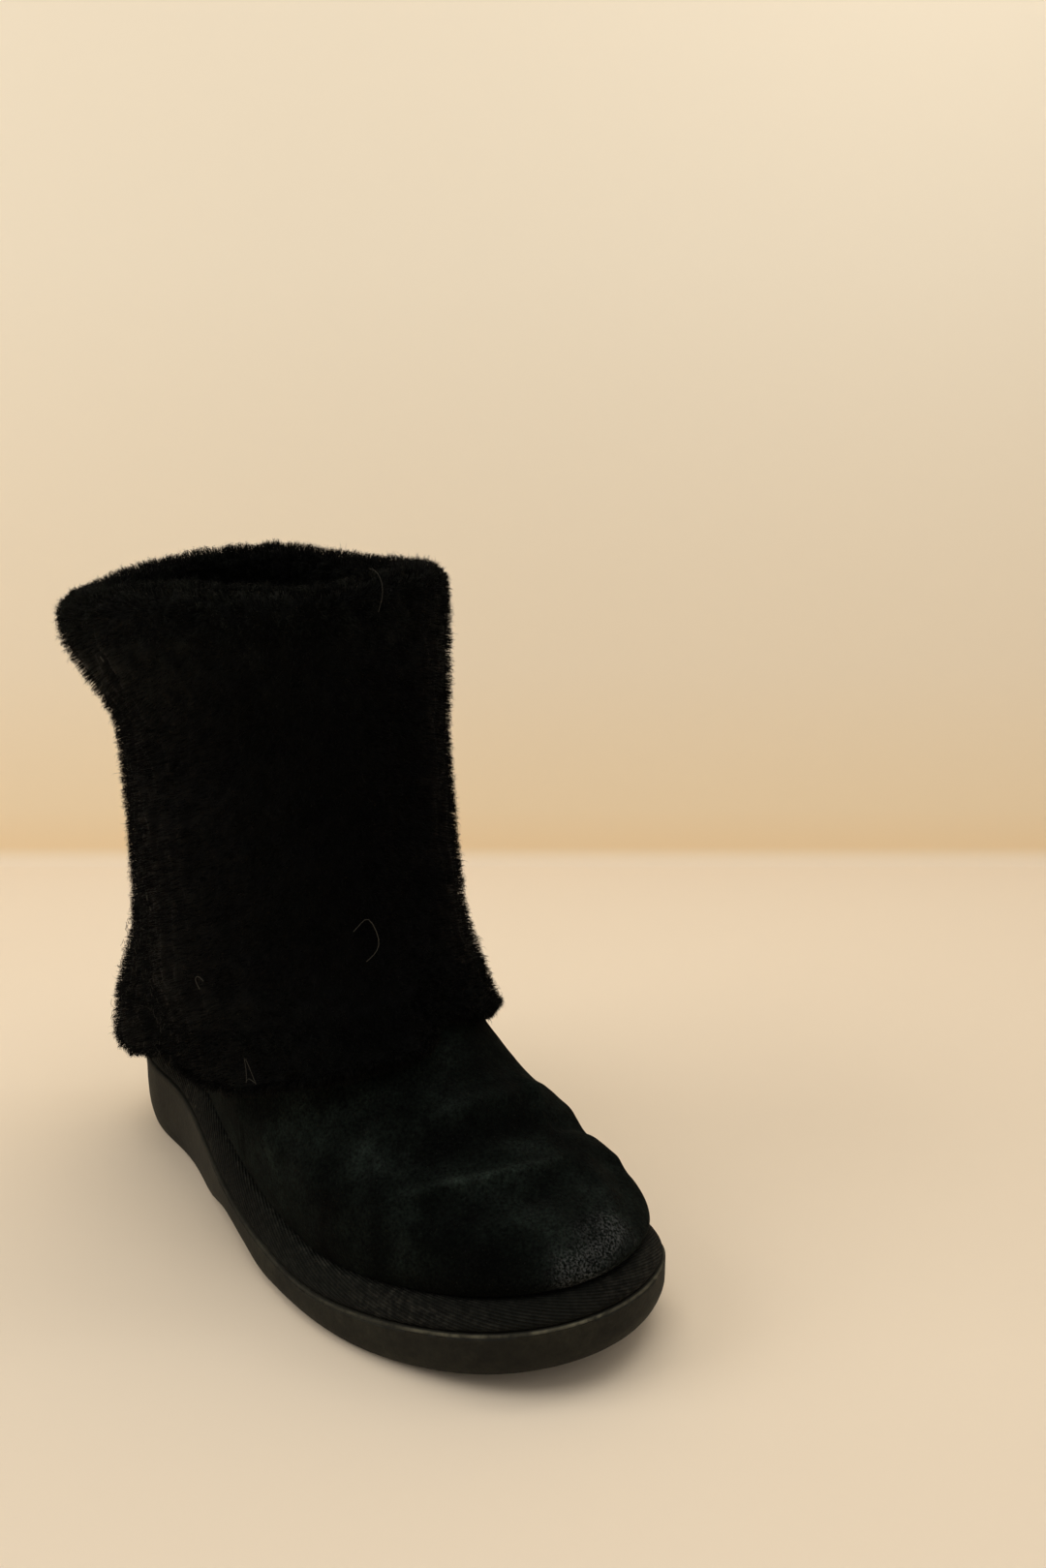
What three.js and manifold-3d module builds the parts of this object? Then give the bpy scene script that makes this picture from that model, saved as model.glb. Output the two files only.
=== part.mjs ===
// A short sheepskin boot for the right foot, worn with its shaft folded over so that the fur shows.
// The suede upper is one hollow wall from the sole to the collar. The fold-over fur cuff rolls over
// the collar and hangs down outside it to the instep and the heel. The upper stands on a platform
// bound in tape, and the platform stands on a moulded wedge outsole with arch, heel and toe spring.
// Millimetres. +Z is up, the toe points along -Y, and +X is the wearer's left, the inner side of
// this right boot. The origin is on the floor under the middle of the heel.
import * as THREE from "three";
import { mergeVertices } from "three/addons/utils/BufferGeometryUtils.js";
import Module from "manifold-3d";

const wasm = await Module();
wasm.setup();

// Driving dimensions of the sole.
const SOLE_LENGTH = 268;
const BALL_WIDTH = 100;
const WAIST_WIDTH = 65;
const HEEL_WIDTH = 60.5;
const HEEL_ROUND = 27; // radius of the outline at the back of the heel
const TOE_ROUND = 44; // radius of the outline at the toe
const TOE_TO_INNER_SIDE = 1.5; // how far the toe tip lies towards the big toe
const HEEL_CENTRE = 42; // from the back of the heel to the origin
const HEEL_HEIGHT = 31; // outsole at the heel
const BALL_HEIGHT = 12; // outsole at the ball
const TOE_HEIGHT = 15; // outsole side at the toe tip
const TOE_SPRING = 11; // lift of the toe tip off the floor
const HEEL_LIFT = 2; // lift of the very back of the heel
const ARCH_RISE = 7;
const SOLE_EDGE_ROUND = 3; // the side tucks in this much at the floor
const SOLE_LIP = 1.2; // and this much at its top lip
const TREAD_DEPTH = 3;
const TREAD_GROOVE = 4;
const TREAD_PITCH = 14;
const TREAD_BORDER = 11; // uncut rubber between the grooves and the edge

// Where the sole changes along its length, as shares of the length from the back of the heel.
const HEEL_LIFT_TO = 0.07;
const HEEL_LIFT_CURVE = 1.5;
const ARCH_FROM = 0.3;
const ARCH_TO = 0.56;
const SPRING_FROM = 0.72;
const SPRING_CURVE = 1.8;
const WEDGE_FROM = 0.12;
const WEDGE_TO = 0.68;
const TOE_RISE_FROM = 0.6;
const TOE_RISE_CURVE = 1.7;
const TREAD_HEEL = { from: 0.08, to: 0.27 };
const TREAD_BALL = { from: 0.6, to: 0.86 };

// Platform, insole and upper.
const CLEARANCE = 0.3; // between pieces that touch
const TAPE_HEIGHT = 8;
const TAPE_INSET = 1.2; // the bound edge stands in from the lip of the outsole
const TAPE_LEAN = 5; // and its top leans in this much more
const TAPE_ROUND = 1.2; // rounding of the tape's edges
const INSOLE_THICKNESS = 6;
const INSOLE_TAPER = 2;
const UPPER_WALL = 2;
const FEATHER_INSET = 8; // upper's bottom edge in from the edge of the sole
const FOOT_BULGE = 3; // the foot swells out this much just above it
const SHAFT_HEIGHT = 233; // floor to the top edge of the upper
const SHAFT_DEPTH = 126; // front to back at the collar
const SHAFT_WIDTH = 97; // side to side at the collar
const COLLAR_FLARE = 12; // the slack collar falls outwards at the outer back corner
const COLLAR_DROOP = 9; // and downwards there
const SLACK_TURN = 0.28; // the way round to that corner, as a share of half a turn
const SLACK_BACK = 0.6; // how much of the flare goes backwards
const SLACK_OUT = 0.8; // and how much of it outwards
const SLACK_CURVE = 1.4;
const COLLAR_SAG = 4.5; // the edge of the collar sags this much at its outer front
const COLLAR_RISE = 3; // and stands up this much at the side across from there
const SAG_TURN = 0.8; // the way round to the deepest place, as a share of half a turn
const SAG_CURVE = 9; // higher is a narrower sagging place
const RISE_CURVE = 3; // the same for the raised side
const SEAM_RISE = 0.9; // raised side seam on the outer side of the foot
const SEAM_WIDTH = 3.2;
const SEAM_AT = 0.46; // its place, as a share of the length of the sole
const SEAM_EDGE = 0.3; // the seam's flanks start at this share of its rise

// Fold-over cuff.
const FUR_DEPTH = 11;
const LINING_DEPTH = 7;
const FOLD_RISE = 9; // fur above the folded edge
const FOLD_TURN = 26; // how far the fur turns down inside the collar
const HEM_FRONT = 88; // height of the cuff's lower edge at the instep
const HEM_BACK = 42; // and at the heel
const HEM_NOTCH = 4; // the hem is cut up this much where the flaps meet at the front seam
const HEM_OUTER_DROP = 4; // the outer flap of the cuff hangs lower up to the front seam
const HEM_DEPTH = 6; // extra depth of the fur near the hem, behind the instep
const HEM_ROLL = 6; // the fur bends under at the hem
const LOCK_LENGTH = 28;
const LOCK_WIDTH = 14;
const LOCK_DEPTH = 6;
const LOCK_RELIEF = 1.3; // how far a lock stands out of the fur
const PART_DEPTH = 3.2; // the fur parts over the front and back seams of the cuff
const PART_TURN = 0.22; // half width of a parting, as an angle round the cuff
const HEM_CURVE = 0.8; // how soon the hem rises from the heel
const HEM_STEP = 1.5; // columns over which the step at the front seam runs
const OUTER_DROP_AT = { from: 0.2, to: 0.7 };
const DEEP_FUR_AT = { from: 0.1, to: 0.5 }; // the extra depth at the hem fades out over this rise
const DEEP_FUR_UNTIL = { from: 0.5, to: 0.95 }; // and towards the toe over these shares
const LOCKS_ROUND = 12; // locks in one row round the cuff
const LOCK_ROWS = 5;
const LOCK_LOWEST = 0.1; // the lowest locks end at the hem
const LOCK_WANDER = 0.16; // uneven spacing of the locks round the cuff, as a share of their spacing
const LOCK_SCATTER = 0.25; // and up it, as a share of the distance between rows

const COLUMNS = 52; // round the boot, an even number
const HALF = COLUMNS / 2;

// Outline of the sole seen from above. Rows run from heel to toe: where, as a share of the length,
// and how far the outer and inner edges lie from the centre line, as shares of the named width.
const OUTLINE = [
  { at: 0.1, outer: 0.41, inner: 0.487, of: HEEL_WIDTH },
  { at: 0.2, outer: 0.475, inner: 0.5, of: HEEL_WIDTH },
  { at: 0.32, outer: 0.585, inner: 0.41, of: WAIST_WIDTH },
  { at: 0.45, outer: 0.745, inner: 0.41, of: WAIST_WIDTH },
  { at: 0.58, outer: 0.545, inner: 0.365, of: BALL_WIDTH },
  { at: 0.7, outer: 0.56, inner: 0.435, of: BALL_WIDTH },
  { at: 0.82, outer: 0.5, inner: 0.43, of: BALL_WIDTH },
  { at: 0.92, outer: 0.38, inner: 0.395, of: BALL_WIDTH },
];

// Rings of the upper, from the feather line up to the collar. back and front are shares of the sole
// length, outer and inner are half widths as shares of the ball width, round is 0 for the shape of
// the foot and 1 for the oval of the leg, and low and high are the ring's heights at the back and at
// the front, as shares of the shaft height.
const SECTIONS = [
  { back: 0.035, front: 0.965, outer: 0.5, inner: 0.5, round: 0, low: 0.19, high: 0.16 },
  { back: 0.03, front: 0.965, outer: 0.51, inner: 0.51, round: 0, low: 0.215, high: 0.178 },
  { back: 0.032, front: 0.955, outer: 0.503, inner: 0.503, round: 0, low: 0.24, high: 0.19 },
  { back: 0.038, front: 0.93, outer: 0.485, inner: 0.485, round: 0, low: 0.27, high: 0.204 },
  { back: 0.048, front: 0.883, outer: 0.458, inner: 0.462, round: 0.05, low: 0.305, high: 0.225 },
  { back: 0.06, front: 0.823, outer: 0.432, inner: 0.438, round: 0.15, low: 0.34, high: 0.256 },
  { back: 0.073, front: 0.762, outer: 0.412, inner: 0.416, round: 0.3, low: 0.375, high: 0.304 },
  { back: 0.085, front: 0.702, outer: 0.402, inner: 0.403, round: 0.5, low: 0.415, high: 0.356 },
  { back: 0.095, front: 0.648, outer: 0.402, inner: 0.402, round: 0.7, low: 0.465, high: 0.434 },
  { back: 0.103, front: 0.612, outer: 0.41, inner: 0.41, round: 0.9, low: 0.54, high: 0.54 },
  { back: 0.11, front: 0.592, outer: 0.42, inner: 0.42, round: 1, low: 0.65, high: 0.68 },
  { back: 0.11, front: 0.58, outer: 0.422, inner: 0.422, round: 1, low: 0.82, high: 0.84 },
  { back: 0.1, front: 0.565, outer: 0.48, inner: 0.48, round: 1, low: 1, high: 1 },
];

// The outsole's side from the floor up: how far up, and how far it tucks in.
const SOLE_SIDE = [
  { up: 0, tuck: 1 },
  { up: 0.2, tuck: 0.35 },
  { up: 0.62, tuck: 0 },
];

// The bound edge of the platform from its bottom up: how far up, and how much of the lean.
const TAPE_SIDE = [
  { up: 0, lean: 0, round: 0.7 },
  { up: 0.22, lean: 0, round: 0 },
  { up: 0.68, lean: 0.4, round: 0 },
  { up: 0.94, lean: 0.8, round: 0 },
  { up: 1, lean: 1, round: 1 },
];

// Numbers from a table, blended smoothly along its rows.
function smoothTable(rows, keys, positions) {
  const values = rows.flatMap((row) => keys.map((key) => row[key]));
  const track = new THREE.CubicInterpolant(positions, values, keys.length);
  return (position) => {
    const found = track.evaluate(position);
    return Object.fromEntries(keys.map((key, i) => [key, found[i]]));
  };
}

// Column i runs from the back of the heel (0) along the outer side to the toe (HALF) and back along
// the inner side. Columns i and COLUMNS - i lie opposite each other. A place between two columns
// has a number between theirs.
const wrapped = (column) => ((column % COLUMNS) + COLUMNS) % COLUMNS;
const turnOf = (column) => (Math.PI * Math.min(wrapped(column), COLUMNS - wrapped(column))) / HALF;
const sideOf = (column) => (wrapped(column) <= HALF ? "outer" : "inner");
const shareOf = (turn) => (1 - Math.cos(turn)) / 2;
const turnAt = (share) => Math.acos(1 - 2 * share);
const columnAt = (share) => (turnAt(share) * HALF) / Math.PI;
const everyColumn = (make) => Array.from({ length: COLUMNS }, (_, column) => make(column));

const outlineTurns = [0, ...OUTLINE.map((row) => turnAt(row.at)), Math.PI];
const roundnessAt = (radius) => Math.sqrt((radius * SOLE_LENGTH) / 2);
const outlineRows = [
  { outer: roundnessAt(HEEL_ROUND), inner: roundnessAt(HEEL_ROUND) },
  ...OUTLINE.map((row) => ({
    outer: (row.outer * row.of) / Math.sin(turnAt(row.at)),
    inner: (row.inner * row.of) / Math.sin(turnAt(row.at)),
  })),
  { outer: roundnessAt(TOE_ROUND), inner: roundnessAt(TOE_ROUND) },
];
const outlineBreadth = smoothTable(outlineRows, ["outer", "inner"], outlineTurns);

// Sideways place of the centre line, which bends towards the big toe.
const centreLine = (share) => TOE_TO_INNER_SIDE * share * share;

// A point of the sole's outline, as along = distance from the back of the heel and across = x.
function outlinePoint(column) {
  const turn = turnOf(column);
  const side = sideOf(column);
  const half = Math.sin(turn) * outlineBreadth(turn)[side];
  const share = shareOf(turn);
  const across = centreLine(share) + (side === "outer" ? -half : half);
  return { along: share * SOLE_LENGTH, across };
}

// The same point moved inwards by inset, square to the outline.
function insetPoint(column, inset) {
  const before = outlinePoint(column - 0.5);
  const after = outlinePoint(column + 0.5);
  const here = outlinePoint(column);
  const tangent = new THREE.Vector2(after.along - before.along, after.across - before.across);
  tangent.normalize();
  return { along: here.along - tangent.y * inset, across: here.across + tangent.x * inset };
}

const smoothStep = (value, from, to) => THREE.MathUtils.smoothstep(value, from, to);
const lerp = THREE.MathUtils.lerp;
const within = (value, from, to) => THREE.MathUtils.clamp((value - from) / (to - from), 0, 1);
const bump = (value, from, to) => Math.sin(Math.PI * within(value, from, to)) ** 2;

// Heights of the outsole along the boot: its underside, and its top, which carries the platform.
function soleBottom(along) {
  const share = along / SOLE_LENGTH;
  const spring = TOE_SPRING * within(share, SPRING_FROM, 1) ** SPRING_CURVE;
  const heel = HEEL_LIFT * within(share, HEEL_LIFT_TO, 0) ** HEEL_LIFT_CURVE;
  return spring + heel + ARCH_RISE * bump(share, ARCH_FROM, ARCH_TO);
}

function soleTop(along) {
  const share = along / SOLE_LENGTH;
  const wedge = lerp(HEEL_HEIGHT, BALL_HEIGHT, smoothStep(share, WEDGE_FROM, WEDGE_TO));
  const toe = TOE_HEIGHT + TOE_SPRING - BALL_HEIGHT;
  return wedge + toe * within(share, TOE_RISE_FROM, 1) ** TOE_RISE_CURVE;
}

const platformTop = (along) => soleTop(along) + CLEARANCE + TAPE_HEIGHT;
const featherHeight = (along) => platformTop(along) + CLEARANCE;
const rowPoint = (along, across, height) => new THREE.Vector3(across, HEEL_CENTRE - along, height);

const ringFromOutline = (inset, height) =>
  everyColumn((column) => {
    const { along, across } = insetPoint(column, inset);
    return rowPoint(along, across, height(along));
  });

// Rings of points as one closed mesh. A loop joins its last ring to its first. A stack is closed at
// both ends by strips between opposite columns.
function meshFromRings(rings, closing) {
  const positions = rings.flat().flatMap((point) => [point.x, point.y, point.z]);
  const index = [];
  const at = (ring, column) => (ring % rings.length) * COLUMNS + (column % COLUMNS);
  const quad = (a, b, c, d) => index.push(a, b, c, a, c, d);
  const last = closing === "loop" ? rings.length : rings.length - 1;
  for (let ring = 0; ring < last; ring++)
    for (let column = 0; column < COLUMNS; column++)
      quad(at(ring, column), at(ring, column + 1), at(ring + 1, column + 1), at(ring + 1, column));
  if (closing === "stack")
    for (const [ring, facing] of [[0, 1], [rings.length - 1, -1]])
      for (let column = 0; column < HALF; column++) {
        const corners = [
          at(ring, column),
          at(ring, (COLUMNS - column) % COLUMNS),
          at(ring, COLUMNS - column - 1),
          at(ring, column + 1),
        ];
        quad(...(facing > 0 ? corners : corners.reverse()));
      }
  return solidOf(positions, index);
}

// A closed solid of manifold-3d, with the corners that lie together merged and its faces outwards.
function solidOf(positions, index) {
  const geometry = new THREE.BufferGeometry();
  geometry.setAttribute("position", new THREE.Float32BufferAttribute(positions, 3));
  geometry.setIndex(index);
  const merged = mergeVertices(geometry, 1e-3);
  const corners = [...merged.index.array];
  const kept = [];
  for (let i = 0; i < corners.length; i += 3) {
    const [a, b, c] = corners.slice(i, i + 3);
    if (a !== b && b !== c && a !== c) kept.push(a, b, c);
  }
  const build = (triangles) =>
    new wasm.Manifold(
      new wasm.Mesh({
        numProp: 3,
        vertProperties: new Float32Array(merged.attributes.position.array),
        triVerts: new Uint32Array(triangles),
      }),
    );
  const made = build(kept);
  if (made.volume() > 0) return made;
  for (let i = 0; i < kept.length; i += 3) [kept[i + 1], kept[i + 2]] = [kept[i + 2], kept[i + 1]];
  return build(kept);
}

const solidFromGeometry = (geometry) => {
  const plain = geometry.clone();
  plain.deleteAttribute("normal");
  plain.deleteAttribute("uv");
  const merged = mergeVertices(plain, 1e-4);
  return solidOf([...merged.attributes.position.array], [...merged.index.array]);
};

function namedMesh(name, solid, material) {
  const { vertProperties, triVerts } = solid.getMesh();
  const geometry = new THREE.BufferGeometry();
  geometry.setAttribute("position", new THREE.BufferAttribute(new Float32Array(vertProperties), 3));
  geometry.setIndex(new THREE.BufferAttribute(new Uint32Array(triVerts), 1));
  geometry.computeVertexNormals();
  const mesh = new THREE.Mesh(geometry, material);
  mesh.name = name;
  return mesh;
}

// Outsole: a wedge with a rounded side and a lip, and straight tread grooves under ball and heel.
function outsoleSolid() {
  const side = (up) => (along) => lerp(soleBottom(along), soleTop(along), up);
  const body = meshFromRings(
    [
      ...SOLE_SIDE.map(({ up, tuck }) => ringFromOutline(SOLE_EDGE_ROUND * tuck, side(up))),
      ringFromOutline(0, (along) => soleTop(along) - SOLE_LIP),
      ringFromOutline(SOLE_LIP, soleTop),
    ],
    "stack",
  );
  let cut = body;
  for (const tread of [TREAD_HEEL, TREAD_BALL])
    for (let along = tread.from * SOLE_LENGTH; along < tread.to * SOLE_LENGTH; along += TREAD_PITCH)
      cut = cut.subtract(treadGroove(along));
  return cut;
}

function treadGroove(along) {
  const column = columnAt(along / SOLE_LENGTH);
  const outerEdge = outlinePoint(column).across + TREAD_BORDER;
  const innerEdge = outlinePoint(COLUMNS - column).across - TREAD_BORDER;
  const reach = TREAD_DEPTH + TOE_SPRING;
  const groove = new THREE.BoxGeometry(innerEdge - outerEdge, TREAD_GROOVE, reach);
  const roof = soleBottom(along + TREAD_GROOVE / 2) + TREAD_DEPTH;
  groove.translate((innerEdge + outerEdge) / 2, HEEL_CENTRE - along, roof - reach / 2);
  return solidFromGeometry(groove);
}

// Platform: the board under the foot, its edge bound in a slanting woven tape.
function platformSolid() {
  const level = (up) => (along) => soleTop(along) + CLEARANCE + TAPE_HEIGHT * up;
  const rings = TAPE_SIDE.map(({ up, lean, round }) =>
    ringFromOutline(TAPE_INSET + TAPE_LEAN * lean + TAPE_ROUND * round, level(up)),
  );
  return meshFromRings(rings, "stack");
}

// The upper's outer surface. level runs from 0 at the feather line to 1 at the collar.
const LOW_UNTIL = 0.2; // up to this level the upper follows the outline of the sole
const LEG_FROM = 0.87; // and from this level on it opens to the size of the collar
const SLACK_FROM = 0.89;
const sectionKeys = ["back", "front", "outer", "inner", "round", "low", "high"];
const sectionPlaces = SECTIONS.map((_, i) => i / (SECTIONS.length - 1));
const sectionAt = smoothTable(SECTIONS, sectionKeys, sectionPlaces);
const widestOutline = Math.max(...everyColumn((column) => Math.abs(outlinePoint(column).across)));

// Half width of a level at a column, for the foot and for the oval of the leg.
function levelBreadth(section, column) {
  const turn = turnOf(column);
  const side = sideOf(column);
  const footShape = (Math.sin(turn) * outlineBreadth(turn)[side]) / widestOutline;
  return section[side] * BALL_WIDTH * lerp(footShape, Math.sin(turn), section.round);
}

function upperPoint(level, column) {
  const section = sectionAt(level);
  const sign = sideOf(column) === "outer" ? -1 : 1;
  const leg = smoothStep(level, LEG_FROM, 1);
  const share = lerp(section.back, section.front, shareOf(turnOf(column)));
  const depth = (section.front - section.back) * SOLE_LENGTH;
  const middle = ((section.front + section.back) / 2) * SOLE_LENGTH;
  const legBreadth = Math.sin(turnOf(column)) * (SHAFT_WIDTH / 2);
  const breadth = lerp(levelBreadth(section, column), legBreadth, leg);
  const free = {
    along: middle + (share * SOLE_LENGTH - middle) * lerp(1, SHAFT_DEPTH / depth, leg),
    across: centreLine(share) * (1 - section.round) + sign * breadth,
  };
  const low = insetPoint(column, FEATHER_INSET - FOOT_BULGE * smoothStep(level, 0, LOW_UNTIL / 2));
  const above = smoothStep(level, LOW_UNTIL / 3, LOW_UNTIL);
  const along = lerp(low.along, free.along, above);
  const across = lerp(low.across, free.across, above);
  const rise = lerp(section.low, section.high, shareOf(turnOf(column))) * SHAFT_HEIGHT;
  const height = lerp(featherHeight(along), rise, smoothStep(level, 0, LOW_UNTIL));
  const slack = COLLAR_FLARE * smoothStep(level, SLACK_FROM, 1) ** SLACK_CURVE * cornerWeight(column);
  const droop = COLLAR_DROOP * smoothStep(level, SLACK_FROM, 1) * cornerWeight(column);
  const sag = smoothStep(level, SLACK_FROM, 1) * collarSag(column);
  return rowPoint(along - slack * SLACK_BACK, across - slack * SLACK_OUT, height - droop - sag);
}

// How much lower the collar's edge lies at a column than a level edge would, negative where it rises.
function collarSag(column) {
  const towards = Math.cos((2 * Math.PI * column) / COLUMNS - Math.PI * SAG_TURN);
  return towards > 0 ? COLLAR_SAG * towards ** SAG_CURVE : COLLAR_RISE * towards ** RISE_CURVE;
}

// 1 at the outer back corner of the shaft, falling to 0 a quarter turn away.
function cornerWeight(column) {
  const around = (2 * Math.PI * column) / COLUMNS;
  return Math.max(0, Math.cos(around - Math.PI * SLACK_TURN)) ** 2;
}

// A point offset square to the upper's surface, outwards for a positive distance.
const SLOPE_STEP = 0.012; // levels between the points that give the surface's slope
function upperOffset(level, column, distance) {
  const here = upperPoint(level, column);
  const up = upperPoint(Math.min(1, level + SLOPE_STEP), column);
  up.sub(upperPoint(Math.max(0, level - SLOPE_STEP), column));
  const round = upperPoint(level, column + 0.5).sub(upperPoint(level, column - 0.5));
  const outwards = round.cross(up).normalize();
  outwards.z *= smoothStep(level, 0, LOW_UNTIL / 2);
  const moved = here.addScaledVector(outwards.normalize(), distance);
  moved.z = Math.max(moved.z, featherHeight(HEEL_CENTRE - moved.y));
  return moved;
}

const ringOnUpper = (level, distance) => everyColumn((column) => upperOffset(level, column, distance));

const SEAM_LEVELS = { from: 0.05, to: 0.5 };
const SEAM_ROOM = 0.2; // levels by which the room for the seam runs on above it
const OUTSIDE_LEVELS = [
  0, 0.05, 0.1, 0.16, 0.22, 0.28, 0.34, 0.4, 0.47, 0.54, 0.61, 0.68, 0.76, 0.83, 0.88, 0.92, 0.96, 1,
];
const INSIDE_LEVELS = [1, 0.96, 0.92, 0.88, 0.82, 0.72, 0.62, 0.54, 0.46, 0.38, 0.3, 0.22, 0.15, 0.08, 0];

// Upper: one wall from the feather line to the collar, with a raised seam on its outer side. grow
// swells it on every side, which gives the room that the cuff leaves for it.
function upperSolid(grow) {
  const raised = (ring) => ring.map((point) => point.setZ(point.z + grow));
  const outside = OUTSIDE_LEVELS.map((level) => ringOnUpper(level, grow));
  const inside = INSIDE_LEVELS.map((level) => ringOnUpper(level, -UPPER_WALL - grow));
  raised(outside.at(-1));
  raised(inside[0]);
  return meshFromRings([...outside, ...inside], "loop").add(sideSeam(grow));
}

// A band of the upper's own surface that stands out by SEAM_RISE, from near the sole to the cuff.
function sideSeam(grow) {
  const middle = columnAt(SEAM_AT);
  const columnsPerMillimetre = (columnAt(SEAM_AT + 0.01) - middle) / (0.01 * SOLE_LENGTH);
  const spread = (SEAM_WIDTH / 2 + grow) * columnsPerMillimetre;
  const profile = [
    { aside: -1, rise: -UPPER_WALL / 2 },
    { aside: -1, rise: SEAM_RISE * SEAM_EDGE + grow },
    { aside: -0.5, rise: SEAM_RISE + grow },
    { aside: 0.5, rise: SEAM_RISE + grow },
    { aside: 1, rise: SEAM_RISE * SEAM_EDGE + grow },
    { aside: 1, rise: -UPPER_WALL / 2 },
  ];
  const top = SEAM_LEVELS.to + (grow > 0 ? SEAM_ROOM : 0);
  const levels = OUTSIDE_LEVELS.filter((level) => level >= SEAM_LEVELS.from && level <= top);
  const rows = levels.map((level) =>
    profile.map(({ aside, rise }) => upperOffset(level, middle + aside * spread, rise)),
  );
  return bandSolid(rows);
}

// A closed solid from rows of points, each row a small ring, with both ends filled.
function bandSolid(rows) {
  const around = rows[0].length;
  const index = [];
  for (let row = 0; row < rows.length - 1; row++)
    for (let i = 0; i < around; i++) {
      const a = row * around + i;
      const b = row * around + ((i + 1) % around);
      index.push(a, b, b + around, a, b + around, a + around);
    }
  const last = (rows.length - 1) * around;
  for (let i = 1; i < around - 1; i++) {
    index.push(0, i + 1, i);
    index.push(last, last + i, last + i + 1);
  }
  return solidOf(rows.flat().flatMap((point) => [point.x, point.y, point.z]), index);
}

// Fold-over cuff. Its hem rises from the heel to the instep, less on the outer side, where the flap
// ends in a step at the front seam.
function hemHeight(column) {
  const share = shareOf(turnOf(column));
  const beforeSeam = smoothStep(HALF - column, 0, HEM_STEP);
  const lower = smoothStep(share, OUTER_DROP_AT.from, OUTER_DROP_AT.to) * beforeSeam;
  const fromSeam = (Math.PI - turnOf(column)) / PART_TURN;
  const notch = HEM_NOTCH * Math.exp(-fromSeam * fromSeam);
  return lerp(HEM_BACK, HEM_FRONT, share ** HEM_CURVE) - HEM_OUTER_DROP * lower + notch;
}

// The level of the upper that lies at a given height on a column.
function levelAtHeight(column, height) {
  let below = 0;
  let above = 1;
  for (let i = 0; i < 30; i++) {
    const middle = (below + above) / 2;
    if (upperPoint(middle, column).z < height) below = middle;
    else above = middle;
  }
  return (below + above) / 2;
}

// How deep the fur stands off the upper: less over the seams at the front and at the back, and more
// near the hem. up is 0 at the hem and 1 at the fold.
function furDepth(column, up) {
  const fromSeam = Math.min(turnOf(column), Math.PI - turnOf(column)) / PART_TURN;
  const behind = 1 - smoothStep(shareOf(turnOf(column)), DEEP_FUR_UNTIL.from, DEEP_FUR_UNTIL.to);
  const deeper = HEM_DEPTH * behind * (1 - smoothStep(up, DEEP_FUR_AT.from, DEEP_FUR_AT.to));
  return FUR_DEPTH + deeper - PART_DEPTH * Math.exp(-fromSeam * fromSeam);
}

const rimHeight = (column) => upperPoint(1, column).z;

// A point of the cuff at a distance out off the upper.
function cuffPoint(up, column, out) {
  const height = lerp(hemHeight(column), rimHeight(column), up);
  return upperOffset(up < 1 ? levelAtHeight(column, height) : 1, column, out);
}

function furCuffSolid() {
  const ring = (up, out, rise = 0) =>
    everyColumn((column) => {
      const point = cuffPoint(up, column, out(column));
      return point.setZ(point.z + rise);
    });
  const middle = () => -UPPER_WALL / 2;
  const lining = (share) => () => -UPPER_WALL - LINING_DEPTH * share;
  const fur = (share, up) => (column) => furDepth(column, up) * share;
  const turned = everyColumn((column) => levelAtHeight(column, rimHeight(column) - FOLD_TURN));
  const inside = (out) => everyColumn((column) => upperOffset(turned[column], column, out));
  const rings = [
    ...[0, 0.08, 0.18, 0.3, 0.44, 0.58, 0.68, 0.76, 0.81].map((up) => ring(up, middle)),
    inside(-UPPER_WALL / 2),
    inside(-UPPER_WALL - LINING_DEPTH * 0.8),
    ring(0.95, lining(1)),
    ring(1, lining(1), FOLD_RISE * 0.3),
    ring(1, lining(0.5), FOLD_RISE * 0.8),
    ring(1, fur(0.2, 1), FOLD_RISE),
    ring(1, fur(0.75, 1), FOLD_RISE * 0.72),
    ring(1, fur(1, 1), FOLD_RISE * 0.1),
    ...[0.9, 0.75, 0.6, 0.45, 0.3, 0.18, 0.08].map((up) => ring(up, fur(1, up))),
    ring(0, fur(1, 0), -HEM_ROLL * 0.3),
    ring(0, fur(0.8, 0), -HEM_ROLL * 0.7),
    ring(0, fur(0.4, 0), -HEM_ROLL * 0.1),
  ];
  const body = meshFromRings(rings, "loop").add(wasm.Manifold.union(furLocks()));
  return largestBody(body.subtract(upperSolid(CLEARANCE)));
}

// The cut can leave slivers beside the upper's wall. They are dropped.
const largestBody = (solid) => solid.decompose().sort((a, b) => b.volume() - a.volume())[0];

// Locks of fur fused onto the cuff: long flat tufts that lie along it, half sunk in the fur.
function furLocks() {
  const locks = [];
  for (let row = 0; row < LOCK_ROWS; row++)
    for (let i = 0; i < LOCKS_ROUND; i++) {
      const wander = LOCK_WANDER * Math.sin(i * 5.1 + row);
      const scatter = LOCK_SCATTER * (0.5 + Math.sin(i * 2.4 + row * 1.3));
      const column = ((i + (row % 2) / 2 + wander) * COLUMNS) / LOCKS_ROUND;
      const up = (row + scatter) / LOCK_ROWS;
      locks.push(furLock(Math.max(LOCK_LOWEST, up), column));
    }
  return locks;
}

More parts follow.
